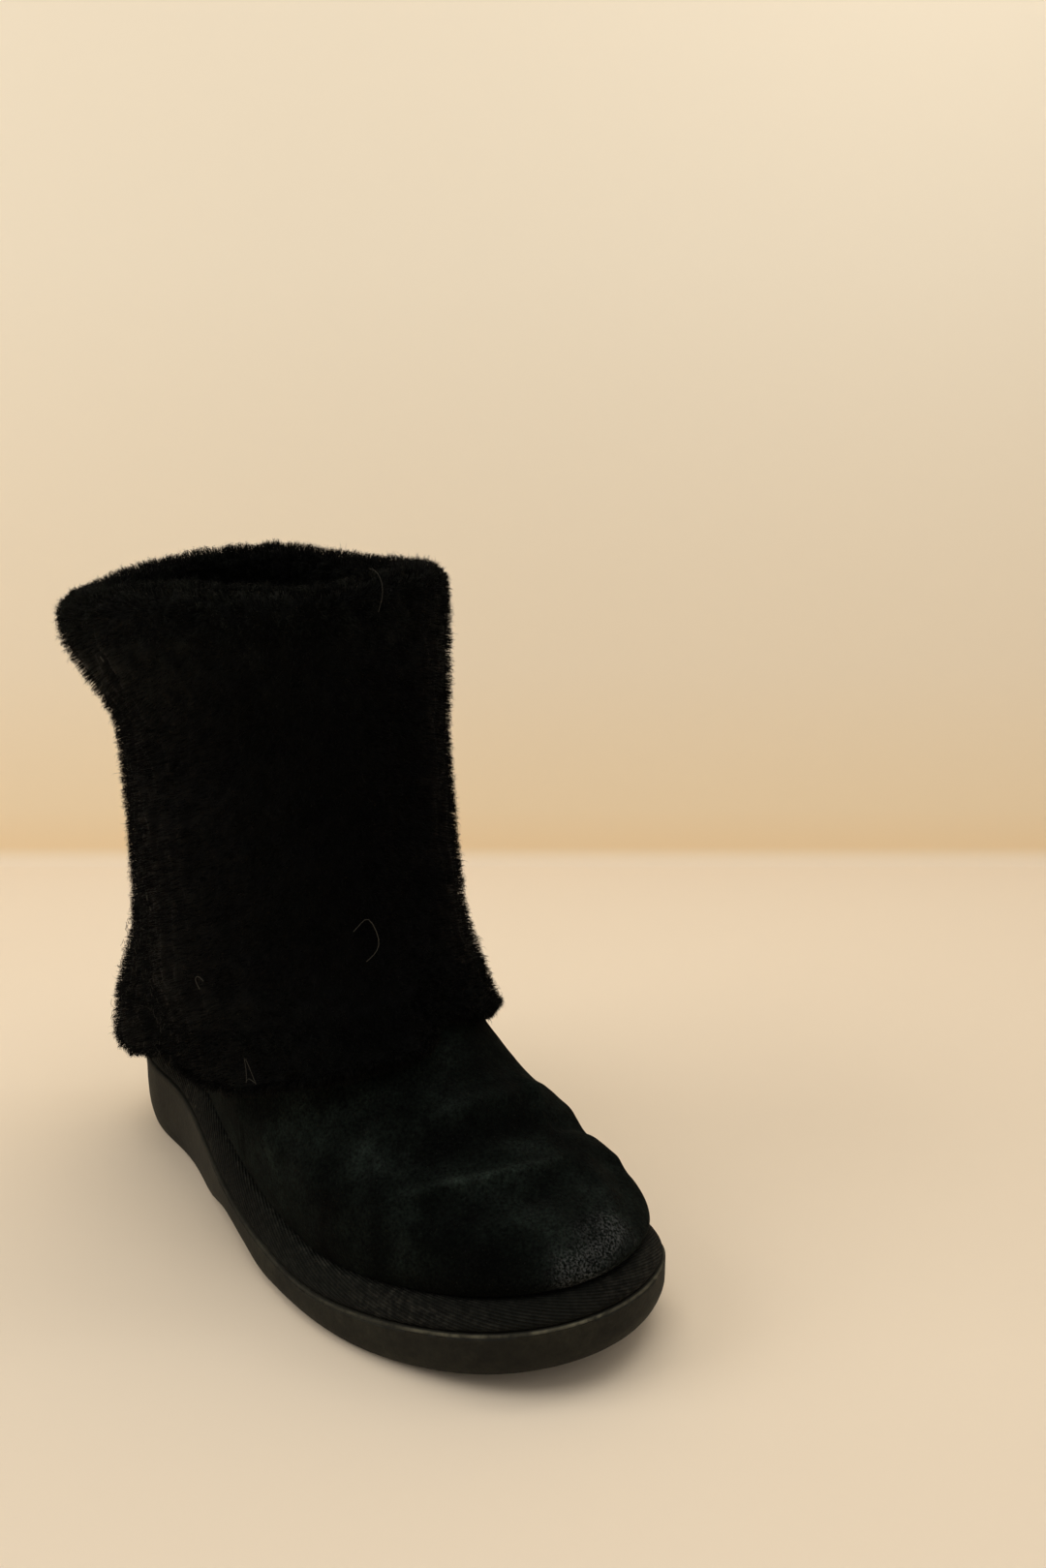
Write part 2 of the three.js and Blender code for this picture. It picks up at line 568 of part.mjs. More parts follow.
function furLock(up, column) {
  const sunk = furDepth(column, up) + LOCK_RELIEF - LOCK_DEPTH / 2;
  const centre = cuffPoint(up, column, sunk);
  const above = cuffPoint(up + 0.05, column, sunk);
  const beside = cuffPoint(up, column + 0.5, sunk);
  const along = above.sub(centre).normalize();
  const outwards = beside.sub(centre).cross(along).normalize();
  const sideways = along.clone().cross(outwards).normalize();
  const tuft = new THREE.IcosahedronGeometry(1, 0);
  tuft.scale(LOCK_WIDTH / 2, LOCK_LENGTH / 2, LOCK_DEPTH / 2);
  const place = new THREE.Matrix4().makeBasis(sideways, along, outwards).setPosition(centre);
  tuft.applyMatrix4(place);
  return solidFromGeometry(tuft);
}

// Insole: the footbed inside the upper.
function insoleSolid() {
  const edge = FEATHER_INSET + UPPER_WALL + CLEARANCE;
  const level = (up) => (along) => platformTop(along) + CLEARANCE + INSOLE_THICKNESS * up;
  return meshFromRings(
    [
      ringFromOutline(edge, level(0)),
      ringFromOutline(edge, level(0.6)),
      ringFromOutline(edge + INSOLE_TAPER, level(1)),
    ],
    "stack",
  );
}

const suede = new THREE.MeshStandardMaterial({ color: 0x0f1210, roughness: 0.95, metalness: 0 });
const fur = new THREE.MeshStandardMaterial({ color: 0x070706, roughness: 1, metalness: 0 });
const rubber = new THREE.MeshStandardMaterial({ color: 0x262320, roughness: 0.75, metalness: 0 });
const tape = new THREE.MeshStandardMaterial({ color: 0x1b1b19, roughness: 0.9, metalness: 0 });
const fleece = new THREE.MeshStandardMaterial({ color: 0x0b0b0a, roughness: 1, metalness: 0 });

const boot = new THREE.Group();
boot.add(
  namedMesh("outsole", outsoleSolid(), rubber),
  namedMesh("platform", platformSolid(), tape),
  namedMesh("upper", upperSolid(0), suede),
  namedMesh("insole", insoleSolid(), fleece),
  namedMesh("fur_cuff", furCuffSolid(), fur),
);

export default boot;
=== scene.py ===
import math
import bpy
import numpy as np
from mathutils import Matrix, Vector


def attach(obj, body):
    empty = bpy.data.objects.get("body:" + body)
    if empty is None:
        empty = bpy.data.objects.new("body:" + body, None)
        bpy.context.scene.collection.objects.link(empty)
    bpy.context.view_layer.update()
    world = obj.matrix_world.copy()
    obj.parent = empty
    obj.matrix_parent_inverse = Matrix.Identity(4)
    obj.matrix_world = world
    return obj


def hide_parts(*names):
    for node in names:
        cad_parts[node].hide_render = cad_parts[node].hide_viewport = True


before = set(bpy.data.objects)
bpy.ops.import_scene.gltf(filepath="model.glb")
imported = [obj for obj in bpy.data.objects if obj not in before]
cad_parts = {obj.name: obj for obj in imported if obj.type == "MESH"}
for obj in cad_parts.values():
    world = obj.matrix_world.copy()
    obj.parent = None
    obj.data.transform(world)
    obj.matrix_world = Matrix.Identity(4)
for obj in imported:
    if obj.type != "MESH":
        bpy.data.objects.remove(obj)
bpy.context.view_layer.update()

RNG = np.random.default_rng(26)

# Sizes in millimetres, the same as the CAD part's.
SOLE_LENGTH, BALL_WIDTH, WAIST_WIDTH, HEEL_WIDTH = 268.0, 100.0, 65.0, 60.5
HEEL_ROUND, TOE_ROUND, TOE_IN, HEEL_CENTRE = 27.0, 44.0, 1.5, 42.0
HEEL_HEIGHT, BALL_HEIGHT, TOE_HEIGHT, TOE_SPRING = 31.0, 12.0, 15.0, 11.0
HEEL_LIFT, ARCH_RISE, EDGE_ROUND = 2.0, 7.0, 3.0
TAPE_HEIGHT, TAPE_INSET, TAPE_LEAN, GAP = 8.0, 1.2, 5.0, 0.3
WALL, FEATHER, BULGE = 2.0, 8.0, 3.0
SHAFT_HEIGHT, SHAFT_DEPTH, SHAFT_WIDTH = 233.0, 126.0, 97.0
FLARE, DROOP, SLACK_FROM, LEG_FROM, LOW_UNTIL = 12.0, 9.0, 0.89, 0.87, 0.2
SAG, SAG_RISE, SAG_TURN, SAG_CURVE, RISE_CURVE = 4.5, 3.0, 0.8, 9, 3
FUR_DEPTH, HEM_DEPTH, LINING, FOLD_RISE = 11.0, 6.0, 7.0, 9.0
HEM_FRONT, HEM_BACK, HEM_DROP, HEM_NOTCH, HEM_ROLL, PART = 88.0, 42.0, 4.0, 4.0, 6.0, 3.2
# Shares of the sole's length, of the upper's height or of half a turn, and exponents.
ARCH_FROM, ARCH_TO, SPRING_FROM, SPRING_CURVE, LIFT_UNTIL, LIFT_CURVE = 0.3, 0.56, 0.72, 1.8, 0.07, 1.5
WEDGE_FROM, WEDGE_TO, TOE_RISE_FROM, TOE_RISE_CURVE = 0.12, 0.68, 0.6, 1.7
FLARE_TURN, FLARE_CURVE, FLARE_OUT, FLARE_BACK = 0.28, 1.4, 0.8, 0.6
HEM_CURVE, HALF_COLUMNS = 0.8, 26  # the CAD part has that many columns from heel to toe
PART_TURN, OUTLINE_STEP, LEVEL_STEP, ANGLE_STEP = 0.22, 0.055, 0.012, 0.05
HALVINGS = 22
OUTLINE = np.array([  # share of the length, outer and inner half width
    [0.1, 0.41 * HEEL_WIDTH, 0.487 * HEEL_WIDTH], [0.2, 0.475 * HEEL_WIDTH, 0.5 * HEEL_WIDTH],
    [0.32, 0.585 * WAIST_WIDTH, 0.41 * WAIST_WIDTH], [0.45, 0.745 * WAIST_WIDTH, 0.41 * WAIST_WIDTH],
    [0.58, 0.545 * BALL_WIDTH, 0.365 * BALL_WIDTH], [0.7, 0.56 * BALL_WIDTH, 0.435 * BALL_WIDTH],
    [0.82, 0.5 * BALL_WIDTH, 0.43 * BALL_WIDTH], [0.92, 0.38 * BALL_WIDTH, 0.395 * BALL_WIDTH],
])
SECTIONS = np.array([  # back, front, outer, inner, round, low, high
    [0.035, 0.965, 0.5, 0.5, 0, 0.19, 0.16], [0.03, 0.965, 0.51, 0.51, 0, 0.215, 0.178],
    [0.032, 0.955, 0.503, 0.503, 0, 0.24, 0.19], [0.038, 0.93, 0.485, 0.485, 0, 0.27, 0.204],
    [0.048, 0.883, 0.458, 0.462, 0.05, 0.305, 0.225], [0.06, 0.823, 0.432, 0.438, 0.15, 0.34, 0.256],
    [0.073, 0.762, 0.412, 0.416, 0.3, 0.375, 0.304], [0.085, 0.702, 0.402, 0.403, 0.5, 0.415, 0.356],
    [0.095, 0.648, 0.402, 0.402, 0.7, 0.465, 0.434], [0.103, 0.612, 0.41, 0.41, 0.9, 0.54, 0.54],
    [0.11, 0.592, 0.42, 0.42, 1, 0.65, 0.68], [0.11, 0.58, 0.422, 0.422, 1, 0.82, 0.84],
    [0.1, 0.565, 0.48, 0.48, 1, 1, 1],
])


# Shape functions. angle runs from 0 at the back of the heel along the outer side to pi at the toe
# and on to 2 pi along the inner side.
def spline(xs, ys):
    """The natural cubic spline through the points, as a function that takes arrays."""
    xs, ys = np.asarray(xs, float), np.asarray(ys, float)
    ys = ys.reshape(len(xs), -1)
    h = np.diff(xs)
    d = np.diff(ys, axis=0) / h[:, None]
    n = len(xs)
    a = np.zeros((n, n))
    r = np.zeros_like(ys)
    a[0, 0] = a[-1, -1] = 1
    for i in range(1, n - 1):
        a[i, i - 1], a[i, i], a[i, i + 1] = h[i - 1], 2 * (h[i - 1] + h[i]), h[i]
        r[i] = 6 * (d[i] - d[i - 1])
    m = np.linalg.solve(a, r)

    def at(x):
        x = np.asarray(x, float)
        k = np.clip(np.searchsorted(xs, x) - 1, 0, n - 2)
        t, hk = x - xs[k], h[k]
        hk, t = hk[..., None], t[..., None]
        s = d[k] - hk * (2 * m[k] + m[k + 1]) / 6
        return ys[k] + t * (s + t * (m[k] / 2 + t * (m[k + 1] - m[k]) / (6 * hk)))

    return at


def smooth(v, a, b):
    """0 at a and 1 at b, with an even start and end."""
    t = np.clip((v - a) / (b - a), 0, 1)
    return t * t * (3 - 2 * t)


def within(v, a, b):
    """0 at a and 1 at b, in a straight line."""
    return np.clip((v - a) / (b - a), 0, 1)


def lerp(a, b, t):
    return a + (b - a) * t


def bell(x, width):
    return np.exp(-(x / width) ** 2)


def unit(vectors):
    return vectors / (np.linalg.norm(vectors, axis=-1, keepdims=True) + 1e-9)


def turn_of(angle):
    """The angle from the back of the heel, from 0 to pi on either side."""
    angle = np.mod(angle, 2 * math.pi)
    return np.minimum(angle, 2 * math.pi - angle)


def outer_side(angle):
    return np.mod(angle, 2 * math.pi) <= math.pi


def share_of(turn):
    """The share of the length at a turn."""
    return (1 - np.cos(turn)) / 2


def round_of(radius):
    """The half breadth over the sine of the turn that gives an end of the outline this radius."""
    return math.sqrt(radius * SOLE_LENGTH / 2)


def breadth_spline():
    turns = np.arccos(1 - 2 * OUTLINE[:, 0])
    sides = OUTLINE[:, 1:] / np.sin(turns)[:, None]
    rows = np.vstack([[round_of(HEEL_ROUND)] * 2, sides, [round_of(TOE_ROUND)] * 2])
    return spline(np.r_[0, turns, math.pi], rows)


breadth = breadth_spline()
section_at = spline(np.linspace(0, 1, len(SECTIONS)), SECTIONS)


def side_breadth(angle):
    b = breadth(turn_of(angle))
    return np.where(outer_side(angle), b[..., 0], b[..., 1])


def outline(angle):
    """The sole's outline as (u, x)."""
    t = turn_of(angle)
    half = np.sin(t) * side_breadth(angle)
    s = share_of(t)
    return s * SOLE_LENGTH, TOE_IN * s * s + np.where(outer_side(angle), -half, half)


def inset_outline(angle, inset):
    """The outline moved in, square to itself."""
    u0, x0 = outline(angle - OUTLINE_STEP)
    u1, x1 = outline(angle + OUTLINE_STEP)
    u, x = outline(angle)
    tu, tx = u1 - u0, x1 - x0
    n = np.hypot(tu, tx)
    return u - tx / n * inset, x + tu / n * inset


WIDEST = np.abs(outline(np.linspace(0, 2 * math.pi, 720))[1]).max()


def sole_bottom(u):
    s = u / SOLE_LENGTH
    arch = ARCH_RISE * np.sin(math.pi * within(s, ARCH_FROM, ARCH_TO)) ** 2
    spring = TOE_SPRING * within(s, SPRING_FROM, 1) ** SPRING_CURVE
    return spring + HEEL_LIFT * within(s, LIFT_UNTIL, 0) ** LIFT_CURVE + arch


def sole_top(u):
    s = u / SOLE_LENGTH
    wedge = lerp(HEEL_HEIGHT, BALL_HEIGHT, smooth(s, WEDGE_FROM, WEDGE_TO))
    return wedge + (TOE_HEIGHT + TOE_SPRING - BALL_HEIGHT) * within(s, TOE_RISE_FROM, 1) ** TOE_RISE_CURVE


def platform_top(u):
    return sole_top(u) + GAP + TAPE_HEIGHT


def feather_height(u):
    return platform_top(u) + GAP


def corner(angle):
    """1 at the outer back, where the slack shaft leans out, and 0 away from it."""
    return np.maximum(0, np.cos(angle - math.pi * FLARE_TURN)) ** 2


def upper(level, angle):
    """Points (x, u, z) of the CAD upper's outer surface."""
    level, angle = np.broadcast_arrays(np.asarray(level, float), np.asarray(angle, float))
    sec = section_at(level)
    back, front, so, si, rnd, low, high = np.moveaxis(sec, -1, 0)
    t = turn_of(angle)
    outer = outer_side(angle)
    sign = np.where(outer, -1.0, 1.0)
    leg = smooth(level, LEG_FROM, 1)
    share = lerp(back, front, share_of(t))
    depth, middle = (front - back) * SOLE_LENGTH, (front + back) / 2 * SOLE_LENGTH
    foot = np.sin(t) * side_breadth(angle) / WIDEST
    half = np.where(outer, so, si) * BALL_WIDTH * lerp(foot, np.sin(t), rnd)
    half = lerp(half, np.sin(t) * SHAFT_WIDTH / 2, leg)
    fu = middle + (share * SOLE_LENGTH - middle) * lerp(1, SHAFT_DEPTH / depth, leg)
    fx = TOE_IN * share * share * (1 - rnd) + sign * half
    lu, lx = inset_outline(angle, FEATHER - BULGE * smooth(level, 0, LOW_UNTIL / 2))
    above = smooth(level, LOW_UNTIL / 3, LOW_UNTIL)
    u, x = lerp(lu, fu, above), lerp(lx, fx, above)
    z = lerp(feather_height(u), lerp(low, high, share_of(t)) * SHAFT_HEIGHT, smooth(level, 0, LOW_UNTIL))
    w = corner(angle)
    slack = FLARE * smooth(level, SLACK_FROM, 1) ** FLARE_CURVE * w
    towards = np.cos(angle - math.pi * SAG_TURN)
    sag = np.where(towards > 0, SAG * towards ** SAG_CURVE, SAG_RISE * towards ** RISE_CURVE)
    z = z - (DROOP * w + sag) * smooth(level, SLACK_FROM, 1)
    return np.stack([x - slack * FLARE_OUT, u - slack * FLARE_BACK, z], -1)


def upper_normal(level, angle):
    """Outward normals of the upper, level near the sole."""
    level, angle = np.broadcast_arrays(np.asarray(level, float), np.asarray(angle, float))
    up = upper(np.minimum(1, level + LEVEL_STEP), angle) - upper(np.maximum(0, level - LEVEL_STEP), angle)
    n = np.cross(up, upper(level, angle + ANGLE_STEP) - upper(level, angle - ANGLE_STEP))
    n[..., 2] *= smooth(level, 0, LOW_UNTIL / 2)
    return unit(n)


def hem_height(angle):
    """Height at which the fur's hem ends, with a notch at the front."""
    t = turn_of(angle)
    s = share_of(t)
    columns = (math.pi - np.mod(angle, 2 * math.pi)) / math.pi * HALF_COLUMNS
    drop = HEM_DROP * smooth(s, 0.2, 0.7) * smooth(columns, 0, 1.5)
    return lerp(HEM_BACK, HEM_FRONT, s ** HEM_CURVE) - drop + HEM_NOTCH * bell(math.pi - t, PART_TURN)


def level_at(angle, height):
    """The level of the upper at a height, by halving."""
    angle, height = np.broadcast_arrays(np.asarray(angle, float), np.asarray(height, float))
    lo, hi = np.zeros(angle.shape), np.ones(angle.shape)
    for _ in range(HALVINGS):
        mid = (lo + hi) / 2
        low = upper(mid, angle)[..., 2] < height
        lo, hi = np.where(low, mid, lo), np.where(low, hi, mid)
    return (lo + hi) / 2


def fur_depth(angle, up):
    """Depth of the fur outside: more at the hem of the heel, less along the partings at front and back."""
    t = turn_of(angle)
    deeper = HEM_DEPTH * (1 - smooth(share_of(t), 0.5, 0.95)) * (1 - smooth(up, 0.1, 0.5))
    return FUR_DEPTH + deeper - PART * bell(np.minimum(t, math.pi - t), PART_TURN)


def to_world(p):
    """(x, u, z) in millimetres to metres in the row frame."""
    return np.stack([p[..., 0], HEEL_CENTRE - p[..., 1], p[..., 2]], -1) / 1000


# Noise. A layer of noise is (strength, scale in millimetres, seed) and the octaves if they aren't 3.
def hashed(i, j, k, seed):
    """The usual sine hash of three whole numbers, from 0 to 1."""
    v = np.sin(i * 127.1 + j * 311.7 + k * 74.7 + seed * 53.3) * 43758.5453
    return v - np.floor(v)


def noise3(p, scale, seed=0):
    """Value noise from -1 to 1 at points p, one cell is scale."""
    q = np.asarray(p) / scale
    f = np.floor(q)
    t = q - f
    t = t * t * (3 - 2 * t)
    out = 0
    for a in (0, 1):
        for b in (0, 1):
            for c in (0, 1):
                w = (t[..., 0] if a else 1 - t[..., 0]) * (t[..., 1] if b else 1 - t[..., 1])
                w = w * (t[..., 2] if c else 1 - t[..., 2])
                out = out + w * hashed(f[..., 0] + a, f[..., 1] + b, f[..., 2] + c, seed)
    return out * 2 - 1


def fbm(p, scale, seed=0, octaves=3):
    """Noise from -1 to 1 in octaves, each half as wide and half as strong as the last."""
    total = sum(noise3(p, scale / 2 ** i, seed + i) / 2 ** i for i in range(octaves))
    return total / (2 - 0.5 ** (octaves - 1))


def layers(p, rows):
    return sum(strength * fbm(p, *rest) for strength, *rest in rows)


# Meshes, from points in millimetres. A tone is a grey that the material multiplies its colour by, and
# other keywords become attributes of their own name.
def mesh_object(name, points, faces, material, slot, node_list=(), tone=None, smooth_shade=True, **floats):
    mesh = bpy.data.meshes.new(name)
    verts = np.asarray(to_world(points), np.float32).reshape(-1, 3)
    faces = np.asarray(faces, np.int32)
    k = faces.shape[1]
    mesh.vertices.add(len(verts))
    mesh.vertices.foreach_set("co", verts.ravel())
    mesh.loops.add(faces.size)
    mesh.loops.foreach_set("vertex_index", faces.ravel())
    mesh.polygons.add(len(faces))
    mesh.polygons.foreach_set("loop_start", np.arange(0, faces.size, k, dtype=np.int32))
    mesh.update(calc_edges=True)
    mesh.polygons.foreach_set("use_smooth", np.full(len(faces), smooth_shade))
    if tone is not None:
        c = np.ones((len(verts), 4), np.float32)
        c[:, :3] = tone.reshape(-1, 1)
        mesh.color_attributes.new("tone", "FLOAT_COLOR", "POINT").data.foreach_set("color", c.ravel())
    for key, values in floats.items():
        mesh.attributes.new(key, "FLOAT", "POINT").data.foreach_set("value", values.ravel().astype(np.float32))
    mesh.materials.append(material)
    o = bpy.data.objects.new(name, mesh)
    bpy.context.scene.collection.objects.link(o)
    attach(o, "root")
    if node_list:
        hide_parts(*node_list)


def grid_faces(rows, cols, wrap=True, flip=False):
    """Faces of rows that go up the outside from angle to angle. They are flipped for rows that go down."""
    r, c = np.meshgrid(np.arange(rows - 1), np.arange(cols if wrap else cols - 1), indexing="ij")
    n = (c + 1) % cols
    f = np.stack([r * cols + c, r * cols + n, (r + 1) * cols + n, (r + 1) * cols + c], -1).reshape(-1, 4)
    return f[:, ::-1] if flip else f


# Materials. The tone attribute multiplies the base colour, and worn says where the surface is
# rubbed pale. Grain is colour noise as (scale, darkest, lightest), bump as (scale, strength, depth
# in metres), and worn and dust are (pale colour, scale, noise where it starts and is full).
MIX_A, MIX_B, MIX_RESULT = 6, 7, 2  # the Mix node's sockets for colours
GRAIN_NOISE, RIB_LIGHT_AND_SHADE = (0.3, 0.7), (0.7, 1.3)


class Nodes:
    def __init__(self, name):
        self.material = bpy.data.materials.new(name)
        self.material.use_nodes = True
        self.tree = self.material.node_tree
        self.shader = self.tree.nodes["Principled BSDF"]
        self.place = self.add("ShaderNodeTexCoord").outputs["Object"]

    def add(self, kind):
        return self.tree.nodes.new(kind)

    def link(self, a, b):
        self.tree.links.new(a, b)

    def noise(self, scale, detail=3):
        n = self.add("ShaderNodeTexNoise")
        n.inputs["Scale"].default_value = scale
        n.inputs["Detail"].default_value = detail
        self.link(self.place, n.inputs["Vector"])
        return n.outputs[0]

    def spread(self, value, low, high, to_low, to_high):
        r = self.add("ShaderNodeMapRange")
        for socket, number in (("From Min", low), ("From Max", high), ("To Min", to_low), ("To Max", to_high)):
            r.inputs[socket].default_value = number
        self.link(value, r.inputs[0])
        return r.outputs[0]

    def attribute(self, name):
        a = self.add("ShaderNodeAttribute")
        a.attribute_name = name
        return a

    def maths(self, how, *values):
        m = self.add("ShaderNodeMath")
        m.operation = how
        for value, socket in zip(values, m.inputs):
            self.link(value, socket)
        return m.outputs[0]

    def mix(self, how, factor, a, b):
        m = self.add("ShaderNodeMix")
        m.data_type = "RGBA"
        m.blend_type = how
        if isinstance(factor, float):
            m.inputs["Factor"].default_value = factor
        else:
            self.link(factor, m.inputs["Factor"])
        for value, socket in ((a, m.inputs[MIX_A]), (b, m.inputs[MIX_B])):
            if isinstance(value, tuple):
                socket.default_value = (*value, 1)
            else:
                self.link(value, socket)
        return m.outputs[MIX_RESULT]


def material(name, base, roughness, spec, bump=(), grain=(), worn=None, dust=None, ribs=0.0, toned=True):
    n = Nodes(name)
    n.shader.inputs["Roughness"].default_value = roughness
    n.shader.inputs["Specular IOR Level"].default_value = spec
    colour = base
    if toned:
        colour = n.mix("MULTIPLY", 1.0, colour, n.attribute("tone").outputs["Color"])
    for scale, darkest, lightest in grain:
        shade = n.spread(n.noise(scale), *GRAIN_NOISE, darkest, lightest)
        colour = n.mix("MULTIPLY", 1.0, colour, shade)
    if worn:
        pale, scale, low, high = worn
        specks = n.spread(n.noise(scale, 5), low, high, 0.0, 1.0)
        colour = n.mix("MIX", n.maths("MULTIPLY", specks, n.attribute("worn").outputs["Fac"]), colour, pale)
    if dust:
        pale, scale, low, high = dust
        colour = n.mix("MIX", n.spread(n.noise(scale, 1), low, high, 0.0, 1.0), colour, pale)
    heights = [(n.noise(scale), strength, depth) for scale, strength, depth in bump]
    if ribs:
        wave = n.maths("SINE", n.attribute("rib").outputs["Fac"])
        # The colour follows the ribs' bump: painted shade in their troughs, painted highlight on their crests.
        colour = n.mix("MULTIPLY", 1.0, colour, n.spread(wave, -1.0, 1.0, *RIB_LIGHT_AND_SHADE))
        heights.append((wave, 1.0, ribs))
    if isinstance(colour, tuple):
        n.shader.inputs["Base Color"].default_value = (*colour, 1)
    else:
        n.link(colour, n.shader.inputs["Base Color"])
    normal = None
    for height, strength, depth in heights:
        k = n.add("ShaderNodeBump")
        k.inputs["Strength"].default_value = strength
        k.inputs["Distance"].default_value = depth
        n.link(height, k.inputs["Height"])
        if normal:
            n.link(normal, k.inputs["Normal"])
        normal = k.outputs[0]
    if normal:
        n.link(normal, n.shader.inputs["Normal"])
    return n.material


SUEDE = material(
    "suede", (0.0025, 0.0038, 0.0030), roughness=1.0, spec=0.04,
    bump=[(1100, 0.7, 0.0005), (260, 0.4, 0.0008)],
    grain=[(75, 0.6, 1.4), (210, 0.65, 1.4), (900, 0.3, 1.9)],
    worn=((0.080, 0.084, 0.084), 1300, 0.42, 0.66), dust=((0.011, 0.012, 0.011), 1500, 0.70, 0.80),
)
RUBBER = material(
    "rubber", (0.0092, 0.0090, 0.0060), roughness=0.75, spec=0.16,
    bump=[(700, 0.35, 0.0004), (120, 0.2, 0.0006)],
    grain=[(55, 0.55, 1.5), (260, 0.7, 1.35), (900, 0.75, 1.3)], worn=((0.15, 0.14, 0.095), 350, 0.25, 0.55),
)
TAPE = material(
    "tape", (0.0064, 0.0070, 0.0058), roughness=0.9, spec=0.08, bump=[(1500, 0.4, 0.0002)],
    grain=[(90, 0.7, 1.3), (800, 0.75, 1.3)], worn=((0.05, 0.048, 0.04), 500, 0.45, 0.75), ribs=0.00018,
)
FUR = material(
    "fur", (0.0014, 0.0016, 0.0012), roughness=0.75, spec=0.07, grain=[(35, 0.55, 1.5), (130, 0.55, 1.5)],
)
FLEECE = material("fleece", (0.0026, 0.0028, 0.0023), roughness=0.95, spec=0.05, bump=[(500, 0.8, 0.0015)])
LINT = material("lint", (0.04, 0.037, 0.03), roughness=0.9, spec=0.05, toned=False)


# Outsole: side, lip and top as rings, and the underside as a height field with its grooves.
SIDE_UPS = [0.0, 0.015, 0.045, 0.09, 0.15, 0.22, 0.31, 0.42, 0.54, 0.66, 0.78, 0.88, 0.94]
LIP_RINGS = [  # inset, height off the top, how far up
    (0.0, -1.2, 0.97), (0.1, -0.7, 0.985), (0.4, -0.25, 0.995), (0.9, 0, 1.02), (2.0, 0, 1.1), (9, -0.1, 1.1),
]
SOLE_COLUMNS = 420
ROUND_UNTIL, UNDER_UNTIL, UNDER_ROUND = 0.5, 0.05, 1.4  # how far up the lower edge is round, and its last bit
UNDER_EDGE = EDGE_ROUND + UNDER_ROUND
LIP_WORN = 3.22  # the way round to where the edge under the tape is rubbed palest
LIP_LINE = (0.974, 0.99, 0.997, 1.014)  # how far up the rubbed line starts, is full, fades and ends
SIDE_WAVE = [(0.3, 26, 3), (0.1, 7, 5)]
SIDE_DIRT = [(0.45, 18, 11, 4), (0.3, 3, 12)]
TREAD_DEPTH, TREAD_HALF, TREAD_PITCH, TREAD_BORDER, TREAD_BEVEL = 3.0, 2.0, 14.0, 11.0, 0.15
TREAD_ROWS, TREAD_COLUMNS, TREAD_NARROWEST = 150, 41, 0.5
UNDER_OVERLAP = 1.02  # the underside starts this little inside the edge, so that it never sticks out
GROOVES = np.r_[
    np.arange(0.08 * SOLE_LENGTH, 0.27 * SOLE_LENGTH, TREAD_PITCH),
    np.arange(0.6 * SOLE_LENGTH, 0.86 * SOLE_LENGTH, TREAD_PITCH),
]


def around(columns):
    return np.linspace(0, 2 * math.pi, columns, endpoint=False)


def outsole_ring(ang, inset, height, up):
    u, x = inset_outline(ang, inset)
    z = lerp(sole_bottom(u), sole_top(u), up) if height is None else sole_top(u) + height
    return np.stack([x, u, z], -1)


def build_outsole():
    ang = around(SOLE_COLUMNS)
    rings = []
    for up in SIDE_UPS:
        tuck = EDGE_ROUND * max(0, 1 - up / ROUND_UNTIL) ** 2
        tuck += UNDER_ROUND * max(0, UNDER_UNTIL - up) / UNDER_UNTIL
        rings.append(outsole_ring(ang, tuck, None, up))
    rings += [outsole_ring(ang, *row) for row in LIP_RINGS]
    p = np.array(rings)
    up = np.array(SIDE_UPS + [row[-1] for row in LIP_RINGS])[:, None] * np.ones(SOLE_COLUMNS)
    u0, x0 = inset_outline(ang, 0.0)
    u1, x1 = inset_outline(ang, -1.0)
    wave = layers(p, SIDE_WAVE) * np.sin(math.pi * np.clip(up, 0, 1)) ** 0.8
    p[..., 0] += (x1 - x0) * wave
    p[..., 1] += (u1 - u0) * wave
    broken = smooth(fbm(p, 9, 8, 4), -0.1, 0.5)
    showing = 0.1 + 0.9 * bell(ang - LIP_WORN, 0.42) + 0.35 * bell(ang - LIP_WORN + 0.8, 0.6)
    line = smooth(up, *LIP_LINE[:2]) * (1 - smooth(up, *LIP_LINE[2:]))
    worn = line * (0.3 + 0.9 * broken) * showing
    scraped = smooth(fbm(p * np.array([1, 1, 3.0]), 16, 14, 4), 0.35, 0.75)
    worn = worn + 0.09 * scraped * smooth(up, 0.9, 0.2) + 0.025 * (up < 0.97)
    dusty = smooth(fbm(p, 45, 13), 0.0, 0.8) * 0.5
    tone = (0.9 + layers(p, SIDE_DIRT)) * (1 - 0.3 * smooth(up, 0.12, 0)) * (1 + dusty)
    faces = grid_faces(len(p), SOLE_COLUMNS)
    mesh_object("outsole_side", p, faces, RUBBER, "sole_rubber", ["outsole"], tone, worn=worn)


